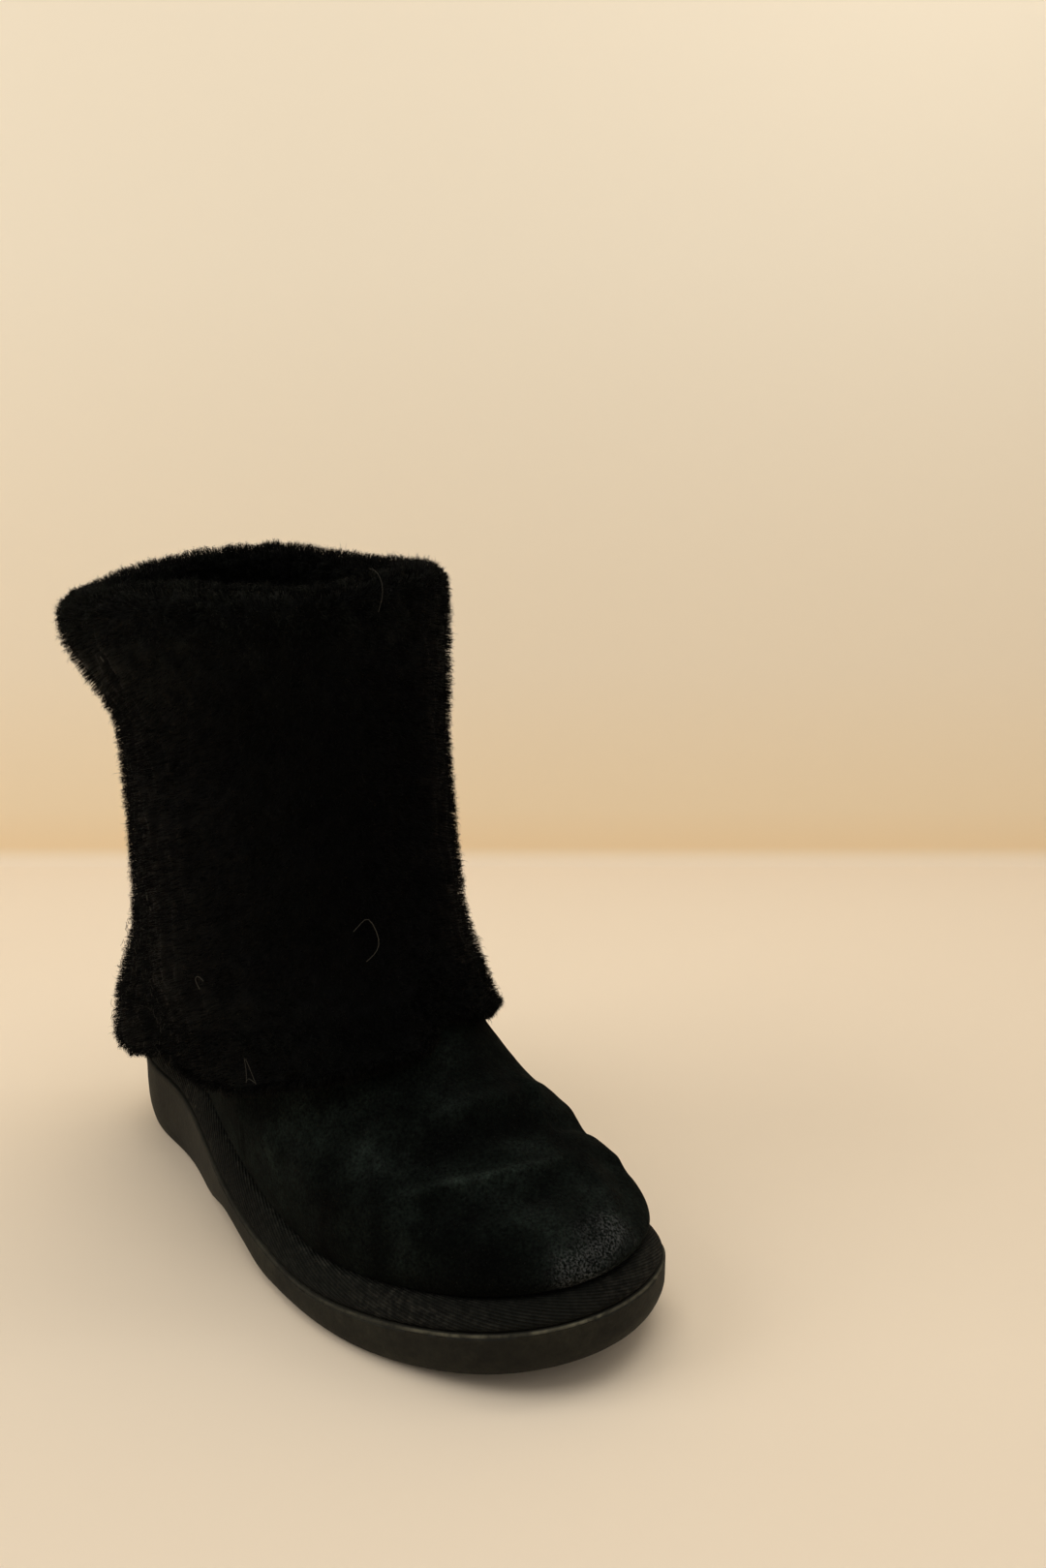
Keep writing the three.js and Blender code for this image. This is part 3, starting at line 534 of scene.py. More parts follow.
def build_tread():
    bevel = [side * TREAD_HALF + d for side in (-1, 1) for d in (-TREAD_BEVEL, TREAD_BEVEL)]
    edges = np.concatenate([GROOVES + d for d in bevel])
    us = np.unique(np.r_[np.linspace(UNDER_EDGE, SOLE_LENGTH - UNDER_EDGE, TREAD_ROWS), edges])
    t = np.linspace(0.02, math.pi - 0.02, 400)
    outer_u, outer_x = inset_outline(t, UNDER_EDGE * UNDER_OVERLAP)
    inner_u, inner_x = inset_outline(2 * math.pi - t, UNDER_EDGE * UNDER_OVERLAP)
    left, right = np.interp(us, outer_u, outer_x), np.interp(us, inner_u, inner_x)
    keep = right - left > TREAD_NARROWEST
    us, left, right = us[keep], left[keep][:, None], right[keep][:, None]
    x = left + (right - left) * np.linspace(0, 1, TREAD_COLUMNS)
    u = us[:, None] + 0 * x
    near = np.min(np.abs(u[..., None] - GROOVES), -1) < TREAD_HALF
    inside = (x - left > TREAD_BORDER - UNDER_EDGE) & (right - x > TREAD_BORDER - UNDER_EDGE)
    cut = np.where(near & inside, TREAD_DEPTH, 0.0)
    p = np.stack([x, u, sole_bottom(u) + cut], -1)
    # Painted shade: the tread's grooves are darker.
    tone = (0.8 + 0.2 * fbm(p, 20, 4)) * np.where(cut > 0, 0.6, 1.0)
    faces = grid_faces(len(us), TREAD_COLUMNS, wrap=False)
    mesh_object("outsole_tread", p, faces, RUBBER, "sole_rubber", (), tone, smooth_shade=False)


# Bound edge of the platform: a leaning tape with twill ribs.
TAPE_COLUMNS, RIB_SPACING, RIB_SLANT = 540, 3.9, 0.93  # the slant is ribs crossed per millimetre up
TAPE_WORN = 1.6  # the way round to where its upper edge is rubbed palest
TAPE_PROFILE = [  # how far up, and how far in
    (0, 0.56), (0.03, 0.2), (0.12, 0.0), (0.22, 0.0), (0.32, 0.3), (0.42, 0.75), (0.52, 1.25), (0.62, 1.75),
    (0.71, 2.3), (0.8, 2.9), (0.88, 3.55), (0.94, 4.1), (0.98, 4.65), (1.0, 5.4), (1.0, 9.5),
]
TAPE_WEAR = [(0.35, 14, 31), (0.2, 2.5, 32)]


def build_tape():
    """The first and last columns lie in one place, so that the ribs meet there without a jump."""
    ang = np.linspace(0, 2 * math.pi, TAPE_COLUMNS)
    u0, x0 = inset_outline(ang, TAPE_INSET)
    run = np.r_[0, np.cumsum(np.hypot(np.diff(u0), np.diff(x0)))]
    ribs = round(run[-1] / RIB_SPACING)
    profile = np.array(TAPE_PROFILE) * [TAPE_HEIGHT, 1]
    across = np.r_[0, np.cumsum(np.hypot(*np.diff(profile, axis=0).T))]
    points, phases, edges = [], [], []
    for (up, inset), far in zip(TAPE_PROFILE, across):
        u, x = inset_outline(ang, TAPE_INSET + inset)
        points.append(np.stack([x, u, sole_top(u) + GAP + TAPE_HEIGHT * up], -1))
        phases.append((run / run[-1] * ribs + far * RIB_SLANT) * 2 * math.pi)
        edges.append(bell(up + 0.5 * max(0, inset / TAPE_LEAN - 1) - 1, 0.05) + 0 * ang)
    p, edge = np.array(points), np.array(edges)
    dust = 1 + 0.5 * smooth(fbm(p, 30, 33), 0.1, 0.7)
    rubbed = edge * bell(ang - TAPE_WORN, 0.7)
    worn = smooth(fbm(p, 22, 34), -0.1, 0.7) * 0.5 + 0.1 + 0.5 * rubbed
    tone = (0.9 + layers(p, TAPE_WEAR)) * dust * (1 + 0.8 * rubbed)
    faces = grid_faces(len(p), TAPE_COLUMNS, wrap=False)
    rib = np.array(phases)
    mesh_object("bound_edge", p, faces, TAPE, "edge_tape", ["platform"], tone, worn=worn, rib=rib)


# Creases of the suede foot, given as centre lines (x, u). A trough has a negative height.
CREASES = [  # points, height, width, paleness: rubbed nap with a painted highlight on a ridge, painted shade in a trough
    ([(-30, 199), (-20, 200.5), (-12, 202), (-3.5, 203.6), (6, 205), (20, 204.8), (34, 201)], 1.3, 2.8, 0.45),
    ([(-34, 204), (-18, 209), (-4.5, 212.5), (8, 214), (20, 213)], -2.2, 5.2, -0.3),
    ([(-42, 206), (-33, 213.4), (-24, 219), (-15.5, 223.4), (-6, 226.4), (4.4, 229), (16, 228)], 1.6, 1.9, 0.8),
    ([(-46, 210), (-35, 221), (-23, 230), (-5, 236), (17, 237)], -1.3, 4.6, -0.25),
    ([(-44, 196), (-30, 193), (-12, 192), (10, 194), (28, 192)], -1.0, 6.0, -0.2),
    ([(18, 216), (29, 217), (40, 217)], -1.6, 2.8, 0.0),
    ([(18, 205), (30, 206), (40, 205)], 2.3, 6.0, 0.0),
    ([(14, 237), (28, 238), (38, 236)], 0.7, 4.5, 0.0),
    ([(10, 206), (28, 206), (40, 204)], -0.8, 3.0, 0.0),
    ([(-50, 152), (-46, 170), (-47, 190)], -0.9, 6.0, -0.2),
    ([(-38, 160), (-32, 176), (-26, 190)], -0.6, 6.0, -0.1),
    ([(17, 264), (27, 251), (31, 240), (34, 228)], -3.6, 8.0, 0.0),
]
PATCHES = [  # x, u, radius, paleness of worn or dark places of the nap
    (-41, 191, 7, 0.8), (-38, 194, 4, 0.4), (4, 222, 6, 0.8), (10, 219, 4, 0.7), (-1, 224, 5, 0.3),
    (-22, 206, 9, -0.3), (-6, 212, 12, -0.35), (10, 211, 9, -0.3),
    (-49, 150, 13, 0.7), (-46, 170, 10, 0.5), (-36, 230, 12, -0.6), (-29, 244, 12, -0.6), (-50, 182, 8, -0.6),
    (-16, 238, 8, 0.8), (-30, 222, 6, 0.6), (2, 243, 9, 0.7), (18, 222, 10, -0.5), (-10, 256, 9, 0.4),
    (-20, 178, 14, -0.3), (10, 190, 14, -0.3), (-40, 214, 6, 0.8), (-44, 204, 5, -0.5), (-26, 234, 5, 0.6),
    (14, 248, 8, 0.5), (-4, 190, 9, 0.3), (-34, 180, 9, 0.35),
]
SCUFFS = [  # x, u, half sizes, how white
    (-4, 259.4, 7, 2.6, 0.9), (3, 258.6, 8, 3, 0.75), (-14, 256.6, 6, 2.4, 0.6), (-2, 255, 12, 4.5, 0.35),
    (8, 255, 5, 4, 0.4),
]
UPPER_ROWS, UPPER_COLUMNS = 170, 420
SUEDE_LOW, SUEDE_TOP = 0.12, 0.64  # levels; a fifth of the rows lie under the first
CREASES_FROM, CREASES_FULL = 36, 50  # heights in millimetres between which the creases set in
SEAM_U, SEAM_HALF = 0.46 * SOLE_LENGTH + 2.0, 1.1
RAGGED = 3.0  # millimetres by which the edges of patches and scuffs wander
CLEAR = 0.2  # the suede ends this far under the feather line, and the lining this far over it
CREASE_FADE, CREASE_LEAST = 0.2, 0.12  # a crease fades over this share of its ends, down to that height


def distance_along(p, points):
    """Distance from a line on the suede, seen from above, and the share of the line up to there."""
    q = np.array(points, float)
    best = np.full(p.shape[:-1], 1e9)
    along = np.zeros(p.shape[:-1])
    lengths = np.hypot(*np.diff(q, axis=0).T)
    start = 0.0
    for a, b, length in zip(q[:-1], q[1:], lengths):
        e = b - a
        t = np.clip(((p[..., 0] - a[0]) * e[0] + (p[..., 1] - a[1]) * e[1]) / length ** 2, 0, 1)
        r = np.hypot(p[..., 0] - a[0] - t * e[0], p[..., 1] - a[1] - t * e[1])
        near = r < best
        best, along = np.where(near, r, best), np.where(near, start + t * length, along)
        start += length
    return best, along / start


def spot(place, x, u, rx, ru):
    """1 at (x, u), fading over rx and ru."""
    return np.exp(-(((place[..., 0] - x) / rx) ** 2 + ((place[..., 1] - u) / ru) ** 2))


def crease_field(p):
    """Heights and paleness that the creases give to points of the suede: rubbed nap and a painted highlight on
    the ridges, painted shade in the troughs.
    """
    height, pale = np.zeros(p.shape[:-1]), np.zeros(p.shape[:-1])
    for points, rise, width, tint in CREASES:
        r, along = distance_along(p, points)
        fade = smooth(along, 0, CREASE_FADE) * (1 - smooth(along, 1 - CREASE_FADE, 1)) + CREASE_LEAST
        soft = fade * bell(r, width)
        height += rise * soft
        pale += tint * soft
    return height, pale


def build_upper():
    """The suede foot up to under the fur: creases, swell and side seam in its shape, wear and the creases'
    painted highlight and shade in its colour.
    """
    low = UPPER_ROWS // 5
    levels = np.r_[
        np.linspace(0, SUEDE_LOW, low, endpoint=False),
        np.linspace(SUEDE_LOW, SUEDE_TOP, UPPER_ROWS - low),
    ]
    level, angle = np.meshgrid(levels, around(UPPER_COLUMNS), indexing="ij")
    p, n = upper(level, angle), upper_normal(level, angle)
    # pale holds the creases' rubbed nap with a painted highlight on their ridges and painted shade in their
    # troughs; the patches of the nap are added to it further on.
    crease, pale = crease_field(p)
    height = crease * smooth(p[..., 2], CREASES_FROM, CREASES_FULL)
    height += 0.9 * fbm(p, 34, 41) * smooth(level, 0.05, 0.2) + 0.25 * fbm(p, 9, 42)
    seam = np.abs(p[..., 1] - SEAM_U) / SEAM_HALF
    beside = outer_side(angle) & (np.abs(turn_of(angle) - math.pi / 2) < 0.5)
    ridge = 0.55 * bell(seam, 1) - 0.3 * bell(seam - 2.2, 0.7)
    height += np.where(beside, ridge, 0) * smooth(level, 0.02, 0.1)
    p = p + n * height[..., None]
    p[..., 2] = np.maximum(p[..., 2], feather_height(p[..., 1]) - CLEAR)
    place = p[..., :2] + RAGGED * np.stack([fbm(p, 8, 48), fbm(p, 8, 49)], -1)
    for x, u, radius, tint in PATCHES:
        pale = pale + tint * spot(place, x, u, radius, radius)
    mottle = np.clip(0.5 + 0.6 * fbm(p, 12, 43, 4), 0, 1)
    fine = 0.5 + 0.5 * fbm(p, 2.0, 44)
    low_dark = 1 - 0.45 * (1 - smooth(level, 0.02, 0.14))
    tone = (0.6 + 0.95 * mottle ** 1.5) * low_dark * (0.75 + 0.5 * fine)
    # The creases' painted highlight and shade, and the patches, go into the tone here.
    tone = tone * np.maximum(0.2, 1 + pale * (0.7 + 0.6 * mottle))
    worn = 0.05 * mottle
    for x, u, rx, ru, white in SCUFFS:
        worn = worn + white * spot(place, x, u, rx, ru)
    # The creases' pale ridges, rubbed nap with a painted highlight, also take the worn colour here, together with
    # the pale patches.
    worn = worn + 0.12 * np.clip(pale, 0, 2) * mottle
    worn = np.clip(worn, 0, 1) * np.clip(0.65 + 0.6 * fbm(p, 5, 46), 0.1, 1.2)
    faces = grid_faces(UPPER_ROWS, UPPER_COLUMNS)
    mesh_object("suede_foot", p, faces, SUEDE, "suede", ["upper"], tone, worn=worn)


# Inside: the fleece lining from the fold down, and the footbed.
INSIDE_ROWS, INSIDE_COLUMNS, FOOTBED_ROWS, FOOTBED_COLUMNS = 70, 220, 30, 200
LINING_FROM, LINING_TO, LINING_OFF = 0.02, 0.97, WALL + 1.2  # levels, and how far inside the suede
FOOTBED_EDGE, FOOTBED_ROUND, INSOLE = FEATHER + WALL + GAP, 2, 6.0
FOOTBED_SIDES = [0.0, 1.8, 3.6]  # heights of the rings of its side
FOOTBED_BACK, FOOTBED_FRONT = 38, 222  # where the line along its middle ends


def build_lining():
    levels = np.linspace(LINING_FROM, LINING_TO, INSIDE_ROWS)
    level, angle = np.meshgrid(levels, around(INSIDE_COLUMNS), indexing="ij")
    p = upper(level, angle)
    tuft = 0.5 + 0.5 * fbm(p, 5, 61)
    p = p - upper_normal(level, angle) * (LINING_OFF + tuft)[..., None]
    p[..., 2] = np.maximum(p[..., 2], feather_height(p[..., 1]) + CLEAR)
    faces = grid_faces(INSIDE_ROWS, INSIDE_COLUMNS, flip=True)
    mesh_object("fleece_lining", p, faces, FLEECE, "fleece", (), 0.7 + 0.5 * fbm(p, 4, 62))


def build_footbed():
    ang = around(FOOTBED_COLUMNS)
    sides = len(FOOTBED_SIDES)
    u, x = inset_outline(ang, FOOTBED_EDGE)
    rings = [np.stack([x, u, platform_top(u) + GAP + height], -1) for height in FOOTBED_SIDES]
    u0, x0 = inset_outline(ang, FOOTBED_EDGE + FOOTBED_ROUND)
    um = np.clip(u0, FOOTBED_BACK, FOOTBED_FRONT)
    xm = TOE_IN * (um / SOLE_LENGTH) ** 2 - 6 * bell(um - 120, 50)
    for s in np.linspace(0, 1, FOOTBED_ROWS - sides):
        u, x = lerp(u0, um, s), lerp(x0, xm, s)
        rings.append(np.stack([x, u, platform_top(u) + GAP + INSOLE], -1))
    p = np.array(rings)
    p[sides:, :, 2] += 0.5 * fbm(p[sides:], 4, 63)
    faces = grid_faces(FOOTBED_ROWS, FOOTBED_COLUMNS)
    mesh_object("footbed", p, faces, FLEECE, "fleece", ["insole"], 0.8 + 0.4 * fbm(p, 5, 64))


# Fur cuff. v runs from 0 on the turned-in fur inside the collar, over the fold, down the outside to
# 1 at the hem, and on round the under edge of the fur to HEM_END.
FOLD_FROM, FOLD_TO, HEM_END, FOLD_TURN = 0.18, 0.32, 1.12, 26.0
GRID_ROWS, GRID_COLUMNS = 280, 720
INSIDE_THIN = 0.8  # how thin the fur gets inside
UNDER_TUCK, UNDER_CURVE, ROLL_SHARE = 0.8, 1.4, 0.75  # how the fur tucks in and rolls under the hem


def cuff_surface(v, angle):
    """Points of the fur's surface: the upper's own surface moved out by the depth of the fur."""
    hem = hem_height(angle)
    down = within(v, FOLD_TO, 1)
    up = 1 - down
    under = within(v, 1, HEM_END)
    inside = within(v, FOLD_FROM, 0)
    rim = upper(np.ones(v.shape), angle)[..., 2]
    height = np.where(v < FOLD_TO, rim - FOLD_TURN * inside, lerp(hem, rim, up))
    level = np.where((v >= FOLD_FROM) & (v <= FOLD_TO), 1.0, level_at(angle, height))
    base, n = upper(level, angle), upper_normal(level, angle)
    depth = fur_depth(angle, up)
    theta = within(v, FOLD_FROM, FOLD_TO) * math.pi
    top = fur_depth(angle, 1.0)
    fold_out = (top - WALL - LINING) / 2 - (top + WALL + LINING) / 2 * np.cos(theta)
    in_out = -(WALL + LINING * lerp(1, INSIDE_THIN, inside))
    hem_out = depth * (1 - UNDER_TUCK * under ** UNDER_CURVE)
    out = np.where(v < FOLD_FROM, in_out, np.where(v < FOLD_TO, fold_out, hem_out))
    p = base + n * out[..., None]
    p[..., 2] += np.where((v > FOLD_FROM) & (v < FOLD_TO), FOLD_RISE * np.sin(theta), 0)
    p[..., 2] -= HEM_ROLL * ROLL_SHARE * np.sin(math.pi * np.clip(under * 0.85 + 0.12 * smooth(v, 0.94, 1), 0, 1))
    return p


def cuff_grid():
    """Points, normals and downward directions of the cuff's surface, to look up between."""
    v = np.linspace(0, HEM_END, GRID_ROWS)
    a = np.linspace(0, 2 * math.pi, GRID_COLUMNS + 1)
    vv, aa = np.meshgrid(v, a, indexing="ij")
    p = cuff_surface(vv, aa)
    dv = np.gradient(p, axis=0)
    da = np.roll(p[:, :-1], -1, 1) - np.roll(p[:, :-1], 1, 1)
    da = np.concatenate([da, da[:, :1]], 1)
    return p, unit(np.cross(da, dv)), unit(dv)


CUFF_POINTS, CUFF_NORMALS, CUFF_DOWN = cuff_grid()


def on_grid(values, v, angle):
    """Values of the cuff's grid between its points."""
    r = np.clip(np.asarray(v) / HEM_END, 0, 1) * (GRID_ROWS - 1)
    c = np.mod(angle, 2 * math.pi) / (2 * math.pi) * GRID_COLUMNS
    i, j = np.minimum(r.astype(int), GRID_ROWS - 2), np.minimum(c.astype(int), GRID_COLUMNS - 1)
    s, t = (r - i)[..., None], (c - j)[..., None]
    low = values[i, j] * (1 - t) + values[i, j + 1] * t
    high = values[i + 1, j] * (1 - t) + values[i + 1, j + 1] * t
    return low * (1 - s) + high * s


def cuff_point(v, angle):
    return on_grid(CUFF_POINTS, v, angle), unit(on_grid(CUFF_NORMALS, v, angle))


SINK = 2.9  # the hide of the fur lies this far under the tips
CUFF_RADIUS, FURROW_STRETCH = 60, 0.16  # the furrows are noise on a round cuff, drawn out upwards
FUR_WAVES = [(1.6, 46, 71, 2), (1.0, 15, 72)]
HIDE_ROWS, HIDE_COLUMNS = {"inside": 20, "fold": 30, "outside": 110}, 380


def furrows(p, angle):
    """Soft upright furrows round the cuff, from -1 to 1."""
    place = np.stack([np.cos(angle) * CUFF_RADIUS, np.sin(angle) * CUFF_RADIUS, p[..., 2] * FURROW_STRETCH], -1)
    return fbm(place, 8, 76, 2)


def soft_waves(p, angle):
    """How far the hide's surface lies out of the cuff's."""
    return layers(p, FUR_WAVES) + 0.7 * furrows(p, angle) - SINK


def fur_light_and_shade(v, angle):
    """Painted light and shade of the fur: paler along the fold and at the outer back, darkest in the middle of
    the front.
    """
    rim = 1.15 * bell(v - 0.27, 0.05) + 0.5 * bell(v - 0.36, 0.08) + 0.7 * (v < 0.2)
    back = 1.8 * corner(angle) * smooth(v, 0.55, 0.34) * (v > FOLD_FROM)
    middle = bell(angle - 2.95, 0.8) * smooth(v, 0.34, 0.55) * (1 - 0.5 * smooth(v, 0.85, 1))
    side = 0.35 * smooth(v, 0.4, 0.55) * smooth(v, 0.9, 0.75)
    return (1 + rim + back - side) * (1 - 0.88 * middle)


def build_hide():
    v = np.r_[
        np.linspace(0, FOLD_FROM, HIDE_ROWS["inside"], endpoint=False),
        np.linspace(FOLD_FROM, FOLD_TO, HIDE_ROWS["fold"], endpoint=False),
        np.linspace(FOLD_TO, HEM_END, HIDE_ROWS["outside"]),
    ]
    vv, aa = np.meshgrid(v, around(HIDE_COLUMNS), indexing="ij")
    p, n = cuff_point(vv, aa)
    lump = 1.5 * fbm(p, 5.0, 73, 2)
    p = p + n * (soft_waves(p, aa) + lump)[..., None]
    # Painted shade: the hide is darker where its lumps dip in, and it takes the fur's painted light and shade.
    tone = (0.45 + 0.35 * lump) * fur_light_and_shade(vv, aa)
    mesh_object("fur_hide", p, grid_faces(len(p), HIDE_COLUMNS, flip=True), FUR, "fur", ["fur_cuff"], tone)


# Fibres: slender curved blades, gathered in curled tufts, in a few joined meshes. The cells that
# gather them are turned away from the axes and uneven, so that no rows show.
FIBRES, FIBRE_PIECES, TUFT = 200000, 4, 3.0
SHORTEST, LONGEST, NARROWEST, BROADEST = 2.5, 4.1, 0.15, 0.29
STRAYS, STRAY_LONGER, STRAY_THINNER = 0.12, 1.3, 0.6
EXTRA_PART = 8  # one in this many fibres goes to the rim, and one to the hem
FIBRE_FROM, RIM_FIBRES, HEM_FIBRES = 0.03, (0.15, 0.36), 0.93  # in v
ROOT_PART, BEND_PART, TIP_PART = 0.45, 0.3, 0.3  # of a fibre's length
CELL_TURN = np.linalg.qr(np.array([[3.0, 1, 2], [1, 4, 1], [2, -1, 3]]))[0]


def build_fibres():
    """Each fibre is a blade of three triangles, from its root over a bend to its tip."""
    v = RNG.uniform(FIBRE_FROM, HEM_END, FIBRES)
    angle = RNG.random(FIBRES) * 2 * math.pi
    more = FIBRES // EXTRA_PART
    v[:more] = RNG.uniform(*RIM_FIBRES, more)
    v[more:2 * more] = RNG.uniform(HEM_FIBRES, HEM_END, more)
    p, n = cuff_point(v, angle)
    down = unit(on_grid(CUFF_DOWN, v, angle))
    across = np.cross(n, down)
    q = p @ CELL_TURN.T + 2.2 * np.stack([noise3(p, 7, seed) for seed in (78, 79, 80)], -1)
    cell = np.floor(q / TUFT)
    jitter = [hashed(*cell.T, seed) - 0.5 for seed in range(1, 8)]
    leaning, swaying, curling, growing = jitter[3:]
    centre = (cell + 0.5 + 0.7 * np.stack(jitter[:3], -1)) * TUFT
    pull = (centre - q) @ CELL_TURN
    pull -= n * np.sum(pull * n, -1, keepdims=True)
    stray = RNG.random(FIBRES) < STRAYS
    length = RNG.uniform(SHORTEST, LONGEST, FIBRES) * (1 + 0.35 * growing) * np.where(stray, STRAY_LONGER, 1)
    lean = np.where(v > FOLD_TO, 0.5, 0.15) + leaning * 1.3
    tip = n * 0.75 + down * lean[:, None] + across * (swaying * 1.4)[:, None]
    tip = unit(tip + pull / TUFT * 0.7 + RNG.normal(0, 0.28, (FIBRES, 3)))
    root = unit(n + RNG.normal(0, 0.12, (FIBRES, 3)))
    p0 = p + n * soft_waves(p, angle)[:, None]
    p1 = p0 + root * (length * ROOT_PART)[:, None]
    p2 = p1 + unit(root * 0.35 + tip * 0.65) * (length * BEND_PART)[:, None]
    curl = unit(tip - n * 0.5 + across * curling[:, None])
    p3 = p2 + curl * (length * TIP_PART)[:, None]
    side = unit(np.cross(tip, n) + RNG.normal(0, 0.5, (FIBRES, 3)))
    half = side * (RNG.uniform(NARROWEST, BROADEST, FIBRES) * np.where(stray, STRAY_THINNER, 1) / 2)[:, None]
    blades = np.stack([p0 - half, p0 + half, p2 - half * 0.8, p2 + half * 0.8, p3], 1)
    # The fibres take the fur's painted light and shade.
    shade = RNG.uniform(0.6, 1.3, FIBRES) * (1.0 + 0.9 * growing) * fur_light_and_shade(v, angle)
    # Painted shade in the furrows, which come out darker.
    shade *= np.maximum(0.25, 1 + 0.75 * fbm(p, 6.5, 77) + 0.4 * furrows(p, angle))
    # Painted shade deep in the pile and painted light at the tips: each fibre is darkest at its root and lightest
    # at its tip.
    tone = np.stack([shade * 0.25, shade * 0.25, shade, shade, shade * 1.8], 1)
    step = FIBRES // FIBRE_PIECES
    first = np.arange(step)[:, None] * blades.shape[1]
    faces = np.concatenate([first + [3, 1, 0], first + [2, 3, 0], first + [4, 3, 2]])
    for i in range(FIBRE_PIECES):
        part = slice(i * step, (i + 1) * step)
        mesh_object(f"fur_fibres_{i + 1}", blades[part], faces, FUR, "fur", (), tone[part])


# Lint: pale threads caught in the fur.
THREADS = [  # (v, angle) along the thread, and its width
    ([(0.807, 2.716), (0.797, 2.76), (0.795, 2.808), (0.827, 2.838), (0.848, 2.81), (0.859, 2.75)], 0.3),
    ([(0.868, 1.842), (0.854, 1.823), (0.850, 1.845), (0.857, 1.874)], 0.34),
    ([(0.966, 1.975), (0.982, 1.96), (0.992, 1.945)], 0.2),
    ([(0.967, 1.98), (0.98, 1.985), (0.995, 1.99)], 0.2),
    ([(0.993, 1.985), (0.988, 1.965), (0.991, 1.945)], 0.2),
    ([(0.25, 3.12), (0.30, 3.09), (0.335, 3.04)], 0.2),
    ([(0.733, 1.44), (0.741, 1.449)], 0.5),
    ([(0.750, 1.472), (0.756, 1.478)], 0.5),
    ([(0.368, 1.54), (0.374, 1.552)], 0.6),
    ([(0.10, 5.3), (0.106, 5.32)], 0.6),
]
THREAD_STEPS, THREAD_LIFT = 14, 1.5
SHORT_THREADS, SHORT_LIFT, SHORT_WIDTH, SHORT_WANDER = 110, 0.9, 0.15, 0.45
SHORT_V, SHORT_ANGLE, SHORT_STEP = (0.78, 1.02), (0.3, 1.5), (0.006, 0.018)  # where they lie, and their steps


def thread_mesh(p, width):
    """A tube of four sides."""
    t = np.gradient(p, axis=0)
    n = unit(np.cross(t, np.array([0.3, -0.8, 0.4])))
    b = unit(np.cross(t, n))
    v = np.stack([p + (n * c + b * s) * width / 2 for c, s in ((1, 0), (0, 1), (-1, 0), (0, -1))], 1)
    return v.reshape(-1, 3), grid_faces(len(p), 4, flip=True)


def build_lint():
    paths = []
    for points, width in THREADS:
        q = np.array(points)
        if len(q) > 2:
            q = spline(np.linspace(0, 1, len(q)), q)(np.linspace(0, 1, THREAD_STEPS))
        p, n = cuff_point(q[:, 0], q[:, 1])
        paths.append((p + n * THREAD_LIFT, width))
    for _ in range(SHORT_THREADS):
        start = np.array([RNG.uniform(*SHORT_V), RNG.uniform(*SHORT_ANGLE)])
        turn = RNG.uniform(0, 2 * math.pi)
        step = np.array([SHORT_STEP[0] * math.sin(turn), SHORT_STEP[1] * math.cos(turn)])
        q = np.array([start - step, start, start + step])
        p, n = cuff_point(q[:, 0], q[:, 1])
        paths.append((p + n * SHORT_LIFT + RNG.normal(0, SHORT_WANDER, (3, 3)), SHORT_WIDTH))
    verts, faces, count = [], [], 0
    for p, width in paths:
        v, f = thread_mesh(p, width)
        verts.append(v)
        faces.append(f + count)
        count += len(v)
    mesh_object("lint", np.concatenate(verts), np.concatenate(faces), LINT, "fur")


build_outsole()
build_tread()
build_tape()
build_upper()
build_lining()
build_footbed()
build_hide()
build_fibres()
build_lint()


# Stage, light and camera.
FORWARD = np.array([0.695, 0.719])  # horizontal viewing direction in the row frame
RIGHT = np.array([FORWARD[1], -FORWARD[0]])
CAMERA = np.array([-280.8, -471.4, 278.7]) / 1000
PITCH, FOCAL, FRAME_HEIGHT, SENSOR = 0.235, 1413.8, 1619, 36
FLOOR_FRONT, FLOOR_BACK, WALL_TURN, WALL_TOP, STAGE_HALF = -2.5, 0.38, 0.012, 2.5, 3.0
FLOOR_SINK = 0.0002  # the floor lies this far under the sole
# The wall gets paler upwards: painted light that brightens its upper part.
WALL_COLOURS = [  # height in metres and colour, the floor first
    (0.0, (0.81, 0.705, 0.565)), (0.012, (0.92, 0.73, 0.48)), (0.04, (0.92, 0.77, 0.55)),
    (0.14, (0.92, 0.81, 0.64)), (0.4, (0.95, 0.87, 0.72)),
]
WORLD_COLOUR, WORLD_STRENGTH = (1.0, 0.93, 0.85, 1), 0.378
LIGHTS = [  # name, place, aim, size, power and colour
    ("left", (-1.0, 0.55, 1.0), (0, -0.05, 0.1), 0.9, 7, (1.0, 0.96, 0.9)),
    ("top", (-0.1, -0.2, 1.7), (0, -0.05, 0.0), 1.4, 10, (1.0, 0.97, 0.92)),
    ("front", (0.1, -1.4, 0.9), (0, -0.05, 0.1), 1.0, 1.2, (1.0, 0.97, 0.94)),
    ("right", (1.3, -0.3, 1.2), (0.5, 0.2, 0.1), 1.2, 4.7, (1.0, 0.95, 0.88)),
    ("wall", (0.35, -0.3, 0.75), (0.42, 0.15, 0.3), 0.25, 0.45, (1.0, 0.97, 0.92)),
]


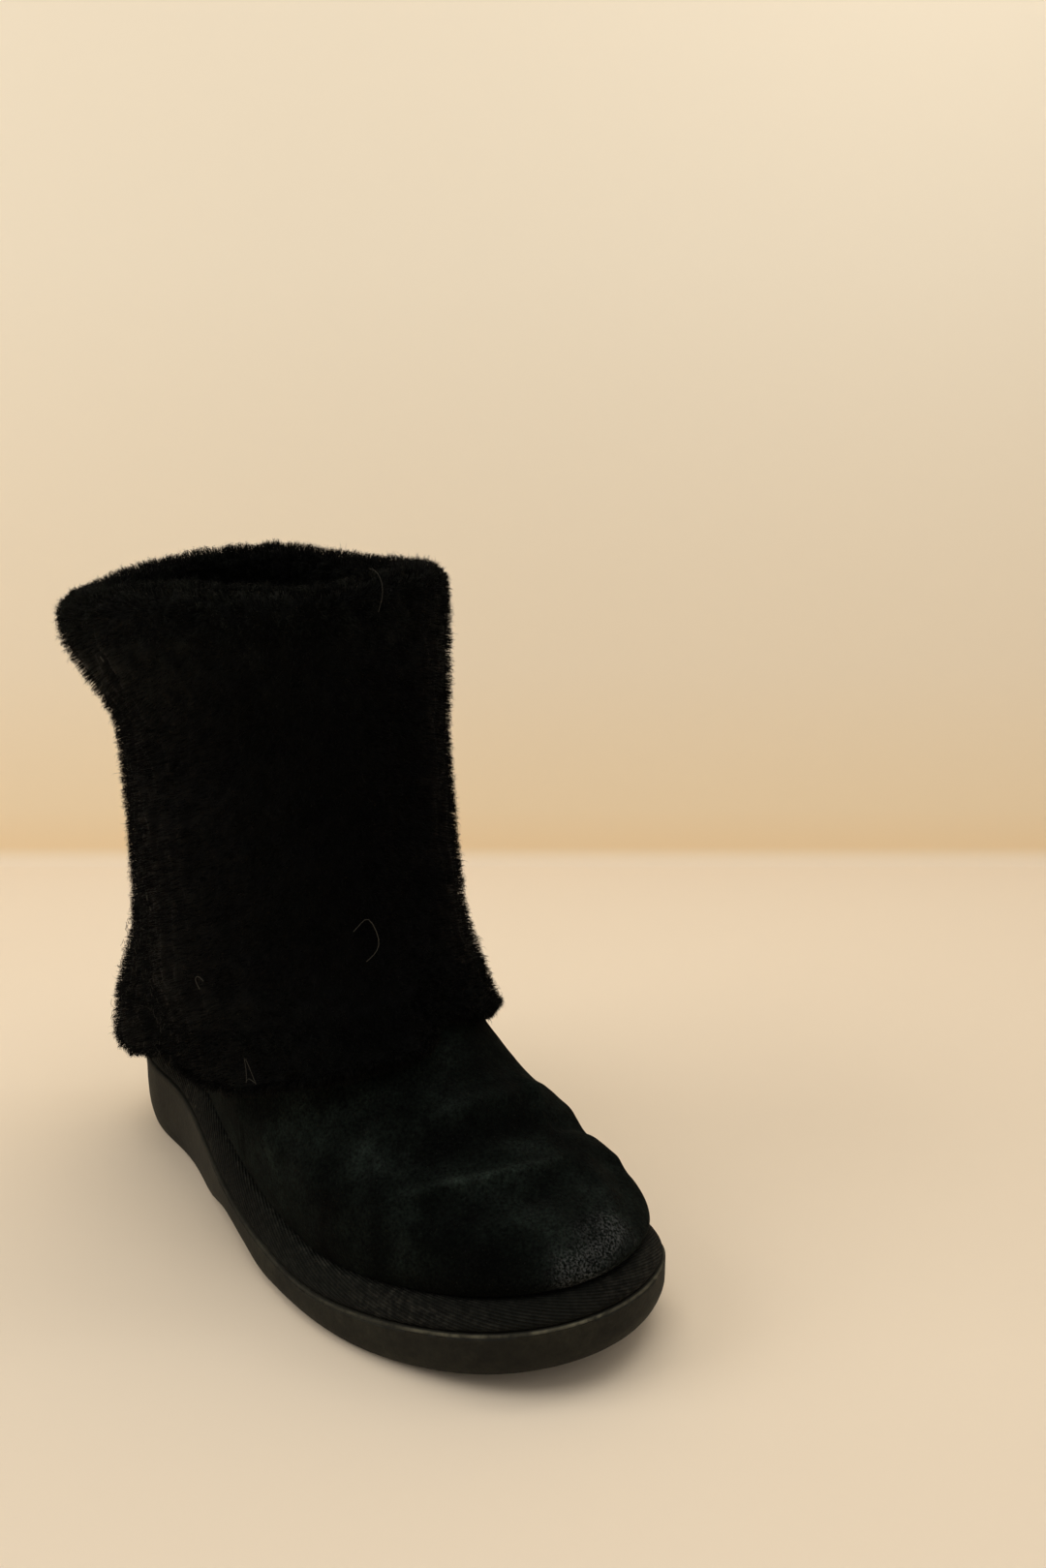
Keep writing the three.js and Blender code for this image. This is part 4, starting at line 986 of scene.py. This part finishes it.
def wall_material():
    """Its colour changes with the height, and gets paler upwards: painted light that brightens the upper wall."""
    m = bpy.data.materials.new("backdrop")
    m.use_nodes = True
    nodes, links = m.node_tree.nodes, m.node_tree.links
    shader = nodes["Principled BSDF"]
    shader.inputs["Roughness"].default_value = 0.9
    shader.inputs["Specular IOR Level"].default_value = 0.2
    place, split = nodes.new("ShaderNodeTexCoord"), nodes.new("ShaderNodeSeparateXYZ")
    ramp = nodes.new("ShaderNodeValToRGB")
    links.new(place.outputs["Object"], split.inputs[0])
    links.new(split.outputs[2], ramp.inputs[0])
    links.new(ramp.outputs[0], shader.inputs["Base Color"])
    for at, colour in WALL_COLOURS[1:]:
        ramp.color_ramp.elements.new(at).color = (*colour, 1)
    ramp.color_ramp.elements[0].color = (*WALL_COLOURS[0][1], 1)
    ramp.color_ramp.elements[-1].color = (*WALL_COLOURS[-1][1], 1)
    return m


def build_stage():
    """Floor and wall in one sheet, with a small turn between them."""
    turn = [
        (FLOOR_BACK + WALL_TURN * math.sin(a), WALL_TURN - WALL_TURN * math.cos(a))
        for a in np.linspace(0.1, math.pi / 2, 8)
    ]
    verts = []
    for along, z in [(FLOOR_FRONT, 0.0), (FLOOR_BACK, 0.0)] + turn + [(FLOOR_BACK + WALL_TURN, WALL_TOP)]:
        for across in (-STAGE_HALF, STAGE_HALF):
            verts.append((*(FORWARD * along + RIGHT * across), z - FLOOR_SINK))
    faces = [(i, i + 1, i + 3, i + 2) for i in range(0, len(verts) - 2, 2)]
    mesh = bpy.data.meshes.new("backdrop")
    mesh.from_pydata(verts, [], faces)
    mesh.polygons.foreach_set("use_smooth", [True] * len(faces))
    mesh.materials.append(wall_material())
    o = bpy.data.objects.new("backdrop", mesh)
    bpy.context.scene.collection.objects.link(o)


def aim(o, direction):
    """Turn a lamp or camera to look along a direction, and put it in the scene."""
    o.rotation_euler = direction.to_track_quat("-Z", "Y").to_euler()
    bpy.context.scene.collection.objects.link(o)


def build_lights():
    world = bpy.data.worlds.new("world")
    bpy.context.scene.world = world
    world.use_nodes = True
    background = world.node_tree.nodes["Background"]
    background.inputs["Color"].default_value = WORLD_COLOUR
    background.inputs["Strength"].default_value = WORLD_STRENGTH
    for name, place, target, size, power, colour in LIGHTS:
        light = bpy.data.lights.new(name, "AREA")
        light.size, light.energy, light.color = size, power, colour
        o = bpy.data.objects.new(name, light)
        o.location = place
        aim(o, Vector(target) - Vector(place))


def build_camera():
    cam = bpy.data.cameras.new("camera")
    cam.sensor_fit = "AUTO"
    cam.sensor_width = SENSOR
    cam.lens = FOCAL / FRAME_HEIGHT * SENSOR
    cam.clip_start = 0.01
    o = bpy.data.objects.new("camera", cam)
    o.location = CAMERA
    aim(o, Vector((*(FORWARD * math.cos(PITCH)), -math.sin(PITCH))))
    bpy.context.scene.camera = o


build_stage()
build_lights()
build_camera()
bpy.context.scene.view_settings.view_transform = "Standard"
